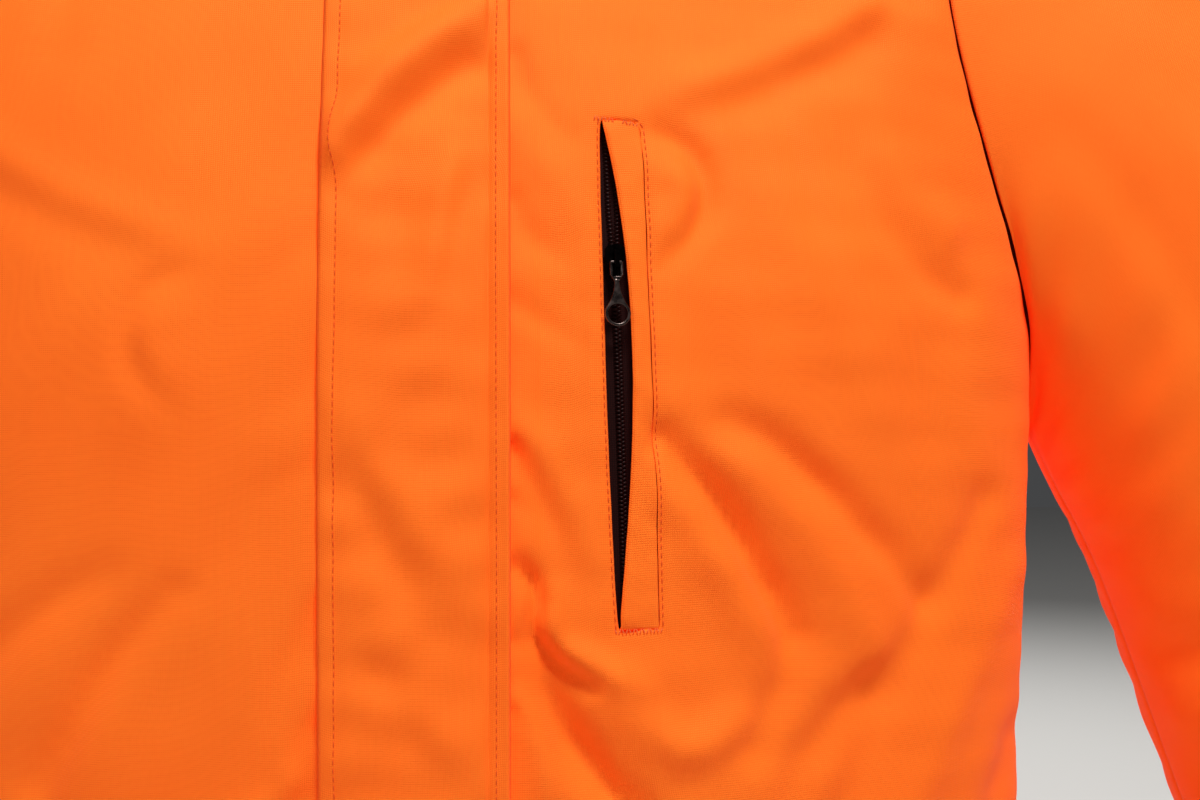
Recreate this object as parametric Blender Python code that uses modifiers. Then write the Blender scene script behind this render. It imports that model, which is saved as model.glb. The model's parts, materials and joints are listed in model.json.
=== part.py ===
"""Hi-vis work jacket, zipped up and filled out as worn, with nobody in it.

The front faces -Y and the wearer's left is +X. The origin is at the height of the neck,
midway between the shoulders, where the wearer carries the jacket. Half of the torso is one
smooth surface that runs from the front hem over the shoulder to the back hem. Each panel is
a stretch of it between two cut edges, and all that lies on a panel is made from its points,
moved out along its normals. Lengths are in metres.
"""

from collections import namedtuple

import bmesh
import bpy
import numpy as np
from mathutils import Matrix

# ------------------------------------------------------------------ cloth
CLOTH = 0.0016  # wall of one panel
SEAM = 0.0009  # gap at a seam on the outer face, where the walls turn towards each other

# ------------------------------------------------------------------ torso
# One row for each level: the height at the centre line and at the side, half the width at
# the side, how far the centre line stands in front of (-) or behind (+) the side, and where
# the side is from front to back.
Level = namedtuple("Level", "name centre_z side_z half_width depth side_y")
TORSO = (
    Level("front hem", -0.770, -0.770, 0.250, -0.128, 0.000),
    Level("front hip", -0.610, -0.610, 0.248, -0.133, 0.000),
    Level("front waist", -0.450, -0.450, 0.251, -0.138, 0.000),
    Level("front underarm", -0.300, -0.300, 0.256, -0.141, 0.000),
    Level("front chest", -0.215, -0.222, 0.255, -0.134, 0.002),
    Level("front armhole", -0.140, -0.155, 0.254, -0.114, 0.004),
    Level("front neck", -0.078, -0.100, 0.254, -0.085, 0.007),
    Level("front shoulder", -0.022, -0.066, 0.254, -0.048, 0.010),
    Level("shoulder", 0.016, -0.056, 0.254, 0.000, 0.012),
    Level("back shoulder", 0.015, -0.066, 0.254, 0.040, 0.010),
    Level("back neck", -0.008, -0.100, 0.254, 0.076, 0.007),
    Level("back armhole", -0.085, -0.155, 0.254, 0.110, 0.004),
    Level("shoulder blade", -0.190, -0.222, 0.255, 0.128, 0.002),
    Level("back underarm", -0.300, -0.300, 0.256, 0.134, 0.000),
    Level("back waist", -0.450, -0.450, 0.251, 0.128, 0.000),
    Level("back hip", -0.610, -0.610, 0.248, 0.124, 0.000),
    Level("back hem", -0.770, -0.770, 0.250, 0.122, 0.000),
)
UNDERARM, NECK, SHOULDER = 3, 6, 8  # rows of the table above, on the front
BACK_HEM = len(TORSO) - 1
SHOULDER_DROP = 1.5  # power by which a level falls from the centre to the side
NECK_HALF_WIDTH = 0.088
ARMHOLE_CUT = {"front": 0.37, "back": 0.32}  # share of a half panel that the armhole takes
ARMHOLE_ROUND = 0.7  # below 1 rounds the armhole's foot
ARMHOLE_TOP = 0.20  # share that is left of the half panel past the armhole's top

# The largest folds, which open towards the hem: place and width as a share of a half panel
# from the centre line to the side seam, and depth at the hem.
Drape = namedtuple("Drape", "panel place width depth")
DRAPES = (
    Drape("front", 0.34, 0.070, 0.0060),
    Drape("front", 0.62, 0.080, 0.0075),
    Drape("front", 0.86, 0.060, 0.0050),
    Drape("back", 0.16, 0.070, 0.0055),
    Drape("back", 0.46, 0.080, 0.0075),
    Drape("back", 0.78, 0.070, 0.0060),
)
DRAPE_TOP = 2.6  # level above which no drape shows
DRAPE_FADE = 1.5  # power by which a drape fades on the way up

# ------------------------------------------------------------------ sleeves
# One row for each ring: its outer and its inner end seen from the front, half its
# front-to-back size, and its middle from front to back.
Ring = namedtuple("Ring", "name outer_x outer_z inner_x inner_z half_depth middle_y")
SLEEVE = (
    Ring("armhole", 0.242, -0.054, 0.256, -0.300, 0.056, 0.004),
    Ring("cap", 0.296, -0.076, 0.266, -0.316, 0.064, 0.004),
    Ring("deltoid", 0.345, -0.122, 0.277, -0.336, 0.069, 0.003),
    Ring("biceps", 0.386, -0.205, 0.292, -0.368, 0.070, 0.000),
    Ring("above elbow", 0.424, -0.320, 0.312, -0.425, 0.066, -0.005),
    Ring("elbow", 0.450, -0.420, 0.336, -0.495, 0.062, -0.012),
    Ring("forearm", 0.476, -0.540, 0.368, -0.590, 0.056, -0.026),
    Ring("cuff", 0.500, -0.665, 0.404, -0.700, 0.047, -0.044),
)
ARMHOLE_FADE = 2.0  # rings over which the armhole's shape turns into the sleeve's

# ------------------------------------------------------------------ collar, flap, front zip
COLLAR_FRONT, COLLAR_SIDE = 0.078, 0.056  # height at the zip, and from the shoulders back
COLLAR_WALL = 0.0022
COLLAR_LEAN = 0.05  # share by which the top is narrower than the neckline
FLAP_LEFT, FLAP_RIGHT = -0.035, 0.0311
FLAP_WALL = 0.0018
FLAP_LIFT = 0.0005  # at its long edges
FLAP_ARCH = 0.0028  # more than that over the zip
FRONT_GAP = 0.008  # between the two fronts, where the chain shows
CHAIN_WIDTH = 0.0060
FRONT_TAPE_WIDTH, FRONT_TAPE_DEPTH = 0.032, 0.0038
TAPE_WALL = 0.0010

# ------------------------------------------------------------------ chest pocket
# The pocket's line runs down the left front. The panel's cut edge, the lip, bows off it to
# one side and the welt's fold gapes to the other.
POCKET_TOP = (0.0637, -0.190)  # x and z
POCKET_FOOT = (0.0693, -0.3695)
LIP_BOW = 0.0018
GAPE = 0.0074
GAPE_TOP_POWER, GAPE_FOOT_POWER = 0.95, 1.2
WELT_SEAM = 0.0145  # from the pocket's line to the seam of the welt
WELT_WALL = 0.0018
WELT_PROUD = 0.0004
POCKET_MIDDLE = 0.0725  # x about halfway across the opening
POCKET_TAPE = (-0.0095, 0.0135)  # its long edges, from the pocket's line
POCKET_TAPE_DEPTH = 0.0042  # from the panel's face down to the tape's
POCKET_TAPE_RUN = 0.008  # past each end of the opening
COIL_PLACE, COIL_WIDTH, COIL_HEIGHT = 0.0026, 0.0042, 0.0015

# ------------------------------------------------------------------ pocket slider and pull
SLIDER_PLACE = (0.0680, -0.2414)  # x and z of the pull's pivot
SLIDER_RISE = 0.0011  # from the pivot up to the slider's middle
SLIDER_LENGTH, SLIDER_WIDTH, SLIDER_NECK = 0.0112, 0.0066, 0.0042
SLIDER_UNDER, SLIDER_TOP = -0.0024, 0.0001  # from the panel's face
BRIDGE_LENGTH, BRIDGE_WIDTH, BRIDGE_WALL = 0.0062, 0.0016, 0.0010
BRIDGE_TOP = 0.0032
PULL_WALL = 0.0012
PULL_LIFT = 0.00115  # middle of its thickness, from the panel's face
PULL_EYE = (0.0028, 0.0056)  # the eye's width, and its length with the bar
PULL_BAR = 0.0012  # above the eye, turning under the bridge
PULL_TOP_WIDTH, PULL_NECK = 0.0048, 0.0018
PULL_REACH = 0.0182  # from the pivot to the middle of the round hole
PULL_RADIUS, PULL_HOLE = 0.0046, 0.0035
PULL_RING_START = 40  # degrees above the middle where the flare meets the ring
PULL_ARC_STEPS, PULL_FLARE_STEPS = 12, 6

# ------------------------------------------------------------------ front slider
FRONT_SLIDER_SIZE = (0.0086, 0.0110)
FRONT_SLIDER_UNDER, FRONT_SLIDER_TOP = 0.0004, 0.0022
FRONT_TAB_SIZE = (0.0056, 0.0200)
FRONT_TAB_TOP = 0.0015
FRONT_SLIDER_HEIGHT = 0.60  # share of the collar's height

# ------------------------------------------------------------------ grids
HEM_TO_UNDERARM_ROWS = (0.0, 0.55, 1.1, 1.6, 2.05)
ARMHOLE_ROWS = (3.0, 3.1, 3.35, 3.7, 4.05)
CHEST_ROWS = (4.9, 5.45)
RIDGE_ROW = 7.87  # close to the shoulder seam, so that the walls there stand upright
NECK_STEPS = 7
COLUMNS_TO_LIP, COLUMNS_IN_POCKET, COLUMNS_TO_SIDE = 3, 1, 8
PLAIN_COLUMNS = 12
SLEEVE_RINGS = 14
RING_SPREAD = 1.15  # above 1 sets the rings closer together at the armhole
COLLAR_ROWS = 3
FLAP_COLUMNS = 6
WELT_COLUMNS = 2
SLOPE_STEP = 0.002  # across which the cloth's slope is read

ORANGE = (1.0, 0.19, 0.02, 1.0)
BLACK = (0.012, 0.012, 0.013, 1.0)
GUNMETAL = (0.10, 0.10, 0.11, 1.0)


# ------------------------------------------------------------------ form
def spline(values, at):
    """A natural cubic spline through values at 0, 1, 2 and so on, read at the places given."""
    values, at = np.asarray(values, float), np.asarray(at, float)
    count = len(values)
    system, right = np.eye(count), np.zeros(count)
    for i in range(1, count - 1):
        system[i, i - 1 : i + 2] = 1, 4, 1
        right[i] = 6 * (values[i - 1] - 2 * values[i] + values[i + 1])
    bend = np.linalg.solve(system, right)
    start = np.clip(at.astype(int), 0, count - 2)
    after = at - start
    before = 1 - after
    return (
        values[start] * before
        + values[start + 1] * after
        + bend[start] * (before**3 - before) / 6
        + bend[start + 1] * (after**3 - after) / 6
    )


def column(table, name, at):
    return spline([getattr(row, name) for row in table], at)


def drape(share, level):
    """How far the largest folds lift the cloth: soft ridges that fade out above the hip."""
    to_hem = np.minimum(level, BACK_HEM - level)
    fade = np.clip(1 - to_hem / DRAPE_TOP, 0, 1) ** DRAPE_FADE
    on_back = level > SHOULDER
    lift = np.zeros(np.broadcast(share, level).shape)
    for fold in DRAPES:
        here = on_back == (fold.panel == "back")
        lift = lift + here * fold.depth * np.exp(-(((share - fold.place) / fold.width) ** 2))
    return lift * fade


def torso(share, level):
    """The half torso: at each level a quarter of an ellipse, from the centre (0) to the side (1)."""
    share, level = np.broadcast_arrays(np.asarray(share, float), np.asarray(level, float))
    across, along = np.sin(share * np.pi / 2), np.cos(share * np.pi / 2)
    half_width, depth = column(TORSO, "half_width", level), column(TORSO, "depth", level)
    centre_z, side_z = column(TORSO, "centre_z", level), column(TORSO, "side_z", level)
    out_x, out_y = across * np.abs(depth), along * half_width * np.sign(depth)
    lift = drape(share, level) / np.maximum(np.hypot(out_x, out_y), 1e-6)
    x = half_width * across + out_x * lift
    y = column(TORSO, "side_y", level) + depth * along + out_y * lift
    z = centre_z + (side_z - centre_z) * across**SHOULDER_DROP
    return np.stack([x, y, z], axis=-1)


def share_at(x, level):
    """The share of the half panel at which a level passes x."""
    return np.arcsin(x / column(TORSO, "half_width", level)) * 2 / np.pi


def neck_edge(level):
    """The neckline, half an ellipse in share and level between the two neck rows."""
    rise = (np.asarray(level, float) - SHOULDER) / (SHOULDER - NECK)
    return share_at(NECK_HALF_WIDTH, SHOULDER) * np.sqrt(np.clip(1 - rise**2, 0, 1))


def armhole_edge(level):
    """The side seam (1) up to the underarm, then the armhole, which cuts into the panel."""
    level = np.asarray(level, float)
    up = np.clip(1 - np.abs(level - SHOULDER) / (SHOULDER - UNDERARM), 0, 1)
    cut = np.where(level < SHOULDER, ARMHOLE_CUT["front"], ARMHOLE_CUT["back"])
    cut = np.hypot(cut * np.abs(np.sin(np.pi * up)) ** ARMHOLE_ROUND, ARMHOLE_TOP * up)
    seam = SEAM / 2 / (abs(TORSO[UNDERARM].depth) * np.pi / 2)
    return 1 - np.maximum(cut, seam)


def level_at(x, z):
    """The level of the front that passes z at x, closed in on from the centre line's."""
    levels = np.linspace(0, SHOULDER, 400)
    heights = column(TORSO, "centre_z", levels)
    level = np.interp(z, heights, levels)
    for _ in range(6):
        across = np.abs(x) / column(TORSO, "half_width", level)
        fall = column(TORSO, "centre_z", level) - column(TORSO, "side_z", level)
        level = np.interp(z + fall * across**SHOULDER_DROP, heights, levels)
    return level


def height_at(x, level):
    """The height at which a level passes x."""
    return torso(share_at(x, level), level)[..., 2]


def front_at(x, z):
    """The point of the left front over x and z."""
    level = level_at(x, z)
    return torso(share_at(x, level), level)


def normals(grid):
    """Unit normals of a grid of points, by its slopes down the rows and across the columns."""
    turn = np.cross(np.gradient(grid, axis=1), np.gradient(grid, axis=0))
    return turn / np.linalg.norm(turn, axis=-1, keepdims=True)


def mirrored(grid):
    return grid * np.array([-1.0, 1.0, 1.0])


# ------------------------------------------------------------------ pocket line
def pocket_line(z):
    """x of the pocket's straight line at a height, held at its ends."""
    down = np.clip((POCKET_TOP[1] - z) / (POCKET_TOP[1] - POCKET_FOOT[1]), 0, 1)
    return POCKET_TOP[0] + (POCKET_FOOT[0] - POCKET_TOP[0]) * down, down


def lip_bow(down):
    return LIP_BOW * np.sqrt(np.sin(np.pi * np.clip(down, 0, 1)))


def gape(down):
    """The welt's fold off the pocket's line: a power of the way from each end, scaled to GAPE."""
    peak = GAPE_TOP_POWER / (GAPE_TOP_POWER + GAPE_FOOT_POWER)
    most = peak**GAPE_TOP_POWER * (1 - peak) ** GAPE_FOOT_POWER
    return GAPE * down**GAPE_TOP_POWER * (1 - down) ** GAPE_FOOT_POWER / most


# ------------------------------------------------------------------ rows
def front_rows():
    """The levels of the front's rows, with one at each end of the pocket."""
    foot, top = (float(level_at(*end)) for end in (POCKET_FOOT, POCKET_TOP))
    neck = SHOULDER - (SHOULDER - NECK) * np.cos(np.linspace(0, np.pi / 2, NECK_STEPS + 1))
    rows = [*HEM_TO_UNDERARM_ROWS, foot, *ARMHOLE_ROWS, top, *CHEST_ROWS, *neck[:-1]]
    rows += [RIDGE_ROW, SHOULDER]
    return np.array(rows), rows.index(foot), rows.index(top)


ROWS, POCKET_FOOT_ROW, POCKET_TOP_ROW = front_rows()


# ------------------------------------------------------------------ meshes
def material(name, colour, roughness, metallic=0.0):
    made = bpy.data.materials.new(name)
    made.use_nodes = True
    shader = made.node_tree.nodes["Principled BSDF"]
    shader.inputs["Base Color"].default_value = colour
    shader.inputs["Roughness"].default_value = roughness
    shader.inputs["Metallic"].default_value = metallic
    return made


def put(name, mesh, finish, collection, smooth=True):
    mesh.materials.append(finish)
    if smooth:
        mesh.shade_smooth()
    made = bpy.data.objects.new(name, mesh)
    collection.objects.link(made)
    return made


def quads(rows, columns, around=False, flip=False, keep=None):
    """Faces of a grid, row by row, closed round its columns if around is set."""
    row, col = np.meshgrid(
        np.arange(rows - 1), np.arange(columns if around else columns - 1), indexing="ij"
    )
    here, right = row * columns + col, row * columns + (col + 1) % columns
    faces = np.stack([here, right, right + columns, here + columns], axis=-1)
    faces = faces.reshape(-1, 4) if keep is None else faces[keep]
    return faces[:, ::-1] if flip else faces


def cloth(name, sheets, finish, collection, wall=CLOTH):
    """Sheets of (points, faces) made one mesh, given its wall on the inner side."""
    points, faces, first = [], [], 0
    for grid, cells in sheets:
        points.append(grid.reshape(-1, 3))
        faces.append(cells + first)
        first += len(points[-1])
    mesh = bpy.data.meshes.new(name)
    mesh.from_pydata(np.concatenate(points).tolist(), [], np.concatenate(faces).tolist())
    made = bmesh.new()
    made.from_mesh(mesh)
    bmesh.ops.remove_doubles(made, verts=made.verts, dist=1e-5)
    made.to_mesh(mesh)
    made.free()
    piece = put(name, mesh, finish, collection)
    solid = piece.modifiers.new("Wall", "SOLIDIFY")
    solid.thickness, solid.offset = wall, -1
    return piece


def panel(start, end, levels, shares):
    """A grid of the half torso between two edges, held off the shoulder's ridge by the seam."""
    start, end = start[:, None], end[:, None]
    grid = torso(start + (end - start) * shares, levels[:, None])
    on_ridge = levels == SHOULDER
    grid[on_ridge, :, 1] += SEAM / 2 * np.sign(levels.mean() - SHOULDER)
    return grid


def centre_edge(levels):
    """The edge of a front: half the zip's gap from the centre line, then the neckline."""
    return np.maximum(share_at(FRONT_GAP / 2, levels), neck_edge(levels))


def front_left(finish, collection):
    """Its columns follow the pocket's lip and the welt's seam, and the cells between them are cut."""
    start, end = centre_edge(ROWS), armhole_edge(ROWS)
    levels = np.clip(ROWS, ROWS[POCKET_FOOT_ROW], ROWS[POCKET_TOP_ROW])
    line, down = pocket_line(height_at(POCKET_MIDDLE, levels))
    edges = [
        (share_at(x, levels) - centre_edge(levels)) / (armhole_edge(levels) - centre_edge(levels))
        for x in (line - lip_bow(down), line + WELT_SEAM)
    ]
    knots = np.cumsum([0, COLUMNS_TO_LIP, COLUMNS_IN_POCKET, COLUMNS_TO_SIDE])
    steps = np.arange(knots[-1] + 1)
    shares = np.array([np.interp(steps, knots, (0, lip, seam, 1)) for lip, seam in zip(*edges)])
    grid = panel(start, end, ROWS, shares)
    keep = np.ones((len(ROWS) - 1, len(steps) - 1), bool)
    keep[POCKET_FOOT_ROW:POCKET_TOP_ROW, knots[1] : knots[2]] = False
    cells = quads(*grid.shape[:2], keep=keep)
    return cloth("front_left", [(grid, cells)], finish, collection)


def front_right(finish, collection):
    shares = np.linspace(0, 1, PLAIN_COLUMNS + 1)
    grid = mirrored(panel(centre_edge(ROWS), armhole_edge(ROWS), ROWS, shares))
    cells = quads(*grid.shape[:2], flip=True)
    return cloth("front_right", [(grid, cells)], finish, collection)


def back(finish, collection):
    """Two halves that join on the centre line below the neck."""
    levels = BACK_HEM - ROWS[::-1]
    shares = np.linspace(0, 1, PLAIN_COLUMNS + 1)
    grid = panel(neck_edge(levels), armhole_edge(levels), levels, shares)
    size = grid.shape[:2]
    halves = [(grid, quads(*size)), (mirrored(grid), quads(*size, flip=True))]
    return cloth("back", halves, finish, collection)


def sleeve_ring(angle, ring):
    """A point of the sleeve: an ellipse at each ring, its inner end at 0 and its front at 90 degrees."""
    outer = np.stack([column(SLEEVE, "outer_x", ring), column(SLEEVE, "outer_z", ring)], -1)
    inner = np.stack([column(SLEEVE, "inner_x", ring), column(SLEEVE, "inner_z", ring)], -1)
    seen = (outer + inner) / 2 - (outer - inner) / 2 * np.cos(angle)[..., None]
    depth = column(SLEEVE, "half_depth", ring) * np.sin(angle)
    y = column(SLEEVE, "middle_y", ring) - depth
    return np.stack([seen[..., 0], y, seen[..., 1]], axis=-1)


def sleeve_grid():
    """Rings of the left sleeve, the first on the armhole and set off it by the seam."""
    on_armhole = ROWS[ROWS >= UNDERARM]
    levels = np.concatenate([on_armhole, BACK_HEM - on_armhole[-2:0:-1]])
    edge = torso(armhole_edge(levels), levels) + np.array([SEAM, 0, 0])
    angle = (levels - UNDERARM) / (SHOULDER - UNDERARM) * np.pi
    last = len(SLEEVE) - 1
    rings = last * np.linspace(0, 1, SLEEVE_RINGS)[:, None] ** RING_SPREAD
    grid = sleeve_ring(*np.broadcast_arrays(angle, rings))
    fade = np.clip(1 - rings / ARMHOLE_FADE, 0, 1)[..., None] ** 2
    return grid + (edge - grid[0]) * fade


def sleeves(finish, collection):
    grid = sleeve_grid()
    size = grid.shape[:2]
    left, right = quads(*size, around=True, flip=True), quads(*size, around=True)
    cloth("sleeve_left", [(grid, left)], finish, collection)
    cloth("sleeve_right", [(mirrored(grid), right)], finish, collection)


def collar_point(level, rise):
    """The collar over the neckline's point at a level, rise being the share of its height."""
    foot = torso(neck_edge(level), level)
    narrow = 1 - COLLAR_LEAN * rise
    to_side = np.sin(np.clip((level - NECK) / (SHOULDER - NECK), 0, 1) * np.pi / 2)
    height = COLLAR_FRONT + (COLLAR_SIDE - COLLAR_FRONT) * to_side
    return np.stack(
        [foot[..., 0] * narrow, foot[..., 1] * narrow, foot[..., 2] + height * rise], -1
    )


def collar(finish, collection):
    """A band round the neck, set in and up from the neckline by the seam, open at the zip."""
    on_front = ROWS[ROWS > NECK + 1e-9][:-1]
    first = neck_level(FRONT_GAP / 2)
    level = np.array([first, *on_front, SHOULDER, *(BACK_HEM - on_front[::-1]), BACK_HEM - NECK])
    rise = np.linspace(0, 1, COLLAR_ROWS + 1)
    grid = collar_point(*np.meshgrid(level, rise))
    to_axis = np.array([0, 0, COLLAR_SIDE]) - grid * np.array([1, 1, 0])
    to_axis /= np.linalg.norm(to_axis, axis=-1, keepdims=True)
    grid = grid + SEAM * to_axis
    size = grid.shape[:2]
    halves = [(grid, quads(*size)), (mirrored(grid), quads(*size, flip=True))]
    return cloth("collar", halves, finish, collection, wall=COLLAR_WALL)


def neck_level(x):
    """The level at which the neckline passes x, near the front."""
    across = share_at(np.abs(x), NECK) / share_at(NECK_HALF_WIDTH, SHOULDER)
    return SHOULDER - (SHOULDER - NECK) * np.sqrt(1 - across**2)


def centre_strip(x):
    """Points down the centre of the front for each x: the panel's rows, then the collar's."""
    x = np.asarray(x, float)[None, :]
    body = np.concatenate([ROWS[ROWS < NECK - 1e-9][:, None] + 0 * x, neck_level(x)])
    lower = torso(share_at(np.abs(x), body), body)
    rise = np.linspace(0, 1, COLLAR_ROWS + 1)[1:, None]
    upper = collar_point(*np.broadcast_arrays(neck_level(x), rise))
    strip = np.concatenate([lower, upper])
    strip[..., 0] *= np.where(x < 0, -1, 1)
    return strip


def storm_flap(finish, collection):
    """A strip down the front, nearest the panels at its long edges and arched over the zip."""
    x = np.linspace(FLAP_LEFT, FLAP_RIGHT, FLAP_COLUMNS + 1)
    strip = centre_strip(x)
    across = np.linspace(0, 1, FLAP_COLUMNS + 1)[None, :, None]
    out = FLAP_LIFT + FLAP_WALL + FLAP_ARCH * np.sin(np.pi * across)
    grid = strip + normals(strip) * out
    return cloth(
        "storm_flap", [(grid, quads(*grid.shape[:2]))], finish, collection, wall=FLAP_WALL
    )


def loft(name, rings, finish, collection):
    """Rings of equal count made one closed body, with a flat cap at each end."""
    rows, count = rings.shape[:2]
    sides = quads(rows, count, around=True).tolist()
    caps = [list(range(count))[::-1], list(range((rows - 1) * count, rows * count))]
    mesh = bpy.data.meshes.new(name)
    mesh.from_pydata(rings.reshape(-1, 3).tolist(), [], sides + caps)
    made = bmesh.new()
    made.from_mesh(mesh)
    bmesh.ops.recalc_face_normals(made, faces=made.faces)
    made.to_mesh(mesh)
    made.free()
    return put(name, mesh, finish, collection, smooth=False)


def zip_profile(left, right, coil_left, coil_right, face, wall, height):
    """A zip's section as (across, out): a flat tape with the chain standing on its face."""
    return (
        (left, face - wall),
        (right, face - wall),
        (right, face),
        (coil_right, face),
        (coil_right, face + height),
        (coil_left, face + height),
        (coil_left, face),
        (left, face),
    )


def front_zip(finish, collection):
    """Tape behind the fronts and collar, with the chain in the gap between them."""
    face = -FRONT_TAPE_DEPTH
    half_tape, half_chain = FRONT_TAPE_WIDTH / 2, CHAIN_WIDTH / 2
    section = zip_profile(-half_tape, half_tape, -half_chain, half_chain, face, TAPE_WALL, -face)
    across, out = np.array(section).T
    places, index = np.unique(across, return_inverse=True)
    strip = centre_strip(places)
    rings = strip[:, index] + normals(strip)[:, index] * out[:, None]
    return loft("front_zip", rings, finish, collection)


def pocket_grid(across, heights):
    """Points and normals of the left front, at offsets from the pocket's line, row by row."""
    z = heights[:, None]
    x = pocket_line(z)[0] + across
    grid = front_at(x, np.broadcast_to(z, x.shape))
    right = front_at(x + SLOPE_STEP, np.broadcast_to(z, x.shape)) - grid
    up = front_at(x, np.broadcast_to(z + SLOPE_STEP, x.shape)) - grid
    turn = np.cross(right, up)
    return grid, turn / np.linalg.norm(turn, axis=-1, keepdims=True)


def pocket_heights():
    """Heights of the panel's rows along the pocket, foot first."""
    return height_at(POCKET_MIDDLE, ROWS[POCKET_FOOT_ROW : POCKET_TOP_ROW + 1])


def pocket_welt(finish, collection):
    """A folded strip that fills the opening from its seam to its gaping fold."""
    heights = pocket_heights()
    heights[[0, -1]] += (SEAM, -SEAM)
    down = pocket_line(heights)[1][:, None]
    fold = np.maximum(gape(down), SEAM)
    across = fold + (WELT_SEAM - SEAM - fold) * np.linspace(0, 1, WELT_COLUMNS + 1)
    grid, out = pocket_grid(across, heights)
    grid = grid + out * WELT_PROUD
    return cloth(
        "pocket_welt", [(grid, quads(*grid.shape[:2]))], finish, collection, wall=WELT_WALL
    )


def pocket_zip(finish, collection):
    """Black tape behind the opening and past its ends, with the closed coil on its face."""
    coil = (COIL_PLACE - COIL_WIDTH / 2, COIL_PLACE + COIL_WIDTH / 2)
    section = zip_profile(*POCKET_TAPE, *coil, -POCKET_TAPE_DEPTH, TAPE_WALL, COIL_HEIGHT)
    across, out = np.array(section).T
    heights = pocket_heights()
    heights = np.concatenate(
        [[heights[0] - POCKET_TAPE_RUN], heights, [heights[-1] + POCKET_TAPE_RUN]]
    )
    grid, turned = pocket_grid(np.broadcast_to(across, (len(heights), len(across))), heights)
    return loft("pocket_zip", grid + turned * out[:, None], finish, collection)


# ------------------------------------------------------------------ sliders and pull
def frame_of(point, out):
    """A frame on the cloth: x to the wearer's left, y up along the cloth, z out of it."""
    side = np.cross((0.0, 0.0, 1.0), out)
    side /= np.linalg.norm(side)
    columns = (side, np.cross(out, side), out, point)
    return Matrix([[float(axis[k]) for axis in columns] for k in range(3)] + [(0, 0, 0, 1)])


def slab(name, outline, low, high, finish, collection):
    """A flat outline of (x, y) points, from low to high off the cloth, in its own frame."""
    outline = np.array(outline)
    rings = [np.column_stack([outline, np.full(len(outline), out)]) for out in (low, high)]
    return loft(name, np.array(rings), finish, collection)


def join(piece, other):
    """Adds a helper's volume to a piece."""
    union = piece.modifiers.new("Join", "BOOLEAN")
    union.operation, union.object = "UNION", other
    other.hide_render, other.display_type = True, "WIRE"


def box_outline(width, bottom, top):
    return [(-width / 2, bottom), (width / 2, bottom), (width / 2, top), (-width / 2, top)]


def slider_outline():
    """A shield: the full width at its upper end, and its neck at the lower one."""
    half, neck, long = SLIDER_WIDTH / 2, SLIDER_NECK / 2, SLIDER_LENGTH / 2
    right = [(neck, -long), (half, 0.1 * long), (half, 0.75 * long), (0.7 * half, long)]
    return right + [(-x, y) for x, y in right[::-1]]


def bridge(finish, helpers):
    """The staple over the slider that the pull's bar turns under."""
    half, wall, foot = BRIDGE_LENGTH / 2, BRIDGE_WALL, SLIDER_TOP - BRIDGE_WALL / 2
    side = [(-half, foot), (-half, BRIDGE_TOP), (half, BRIDGE_TOP), (half, foot)]
    side += [(half - wall, foot), (half - wall, BRIDGE_TOP - wall)]
    side += [(wall - half, BRIDGE_TOP - wall), (wall - half, foot)]
    rings = [[(x, y, out) for y, out in side] for x in (-BRIDGE_WIDTH / 2, BRIDGE_WIDTH / 2)]
    return loft("bridge", np.array(rings), finish, helpers)


def arc(centre_y, radius, start, end, steps):
    """Points of an arc about (0, centre_y), its angles in degrees."""
    angle = np.radians(np.linspace(start, end, steps + 1))
    return np.column_stack([radius * np.cos(angle), centre_y + radius * np.sin(angle)])


def pull_outline():
    """The right side from the bar to the ring: a frame round the eye, a neck, a flare, the ring."""
    half, length = PULL_TOP_WIDTH / 2, PULL_EYE[1] + PULL_BAR
    ring = arc(-PULL_REACH, PULL_RADIUS, PULL_RING_START, -90, PULL_ARC_STEPS)
    drop = np.linspace(0, 1, PULL_FLARE_STEPS + 1)[:-1]
    y = -length + (ring[0, 1] + length) * drop
    flare = np.column_stack([PULL_NECK / 2 + (ring[0, 0] - PULL_NECK / 2) * drop**2, y])
    top = [(0.75 * half, PULL_BAR / 2), (half, 0.0), (half, PULL_BAR - PULL_EYE[1])]
    right = np.concatenate([top, flare, ring])
    return np.concatenate([right, right[-2::-1] * np.array([-1, 1])])


def pull_tab(frame, finish, collection):
    """A flat teardrop with an eye round the bridge and a round hole to take hold of."""
    eye_top = -PULL_BAR / 2
    holes = (
        np.array(box_outline(PULL_EYE[0], eye_top - PULL_EYE[1] + PULL_BAR, eye_top)),
        arc(-PULL_REACH, PULL_HOLE, 0, 360, 2 * PULL_ARC_STEPS)[:-1],
    )
    curve = bpy.data.curves.new("pocket_zip_pull", "CURVE")
    curve.dimensions, curve.fill_mode, curve.extrude = "2D", "BOTH", PULL_WALL / 2
    for outline in (pull_outline(), *holes):
        line = curve.splines.new("POLY")
        line.points.add(len(outline) - 1)
        for point, (x, y) in zip(line.points, outline):
            point.co = (x, y, 0, 1)
        line.use_cyclic_u = True
    curve.materials.append(finish)
    pull = bpy.data.objects.new("pocket_zip_pull", curve)
    pull.matrix_world = frame @ Matrix.Translation((0, 0, PULL_LIFT))
    collection.objects.link(pull)


def pocket_slider(frame, finish, collection, helpers):
    body = slab(
        "pocket_zip_slider", slider_outline(), SLIDER_UNDER, SLIDER_TOP, finish, collection
    )
    loop = bridge(finish, helpers)
    join(body, loop)
    # The pull's bar hangs just above the bridge's lower leg, with room to turn.
    middle = Matrix.Translation((0, SLIDER_RISE, 0))
    body.matrix_world = loop.matrix_world = frame @ middle


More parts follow.
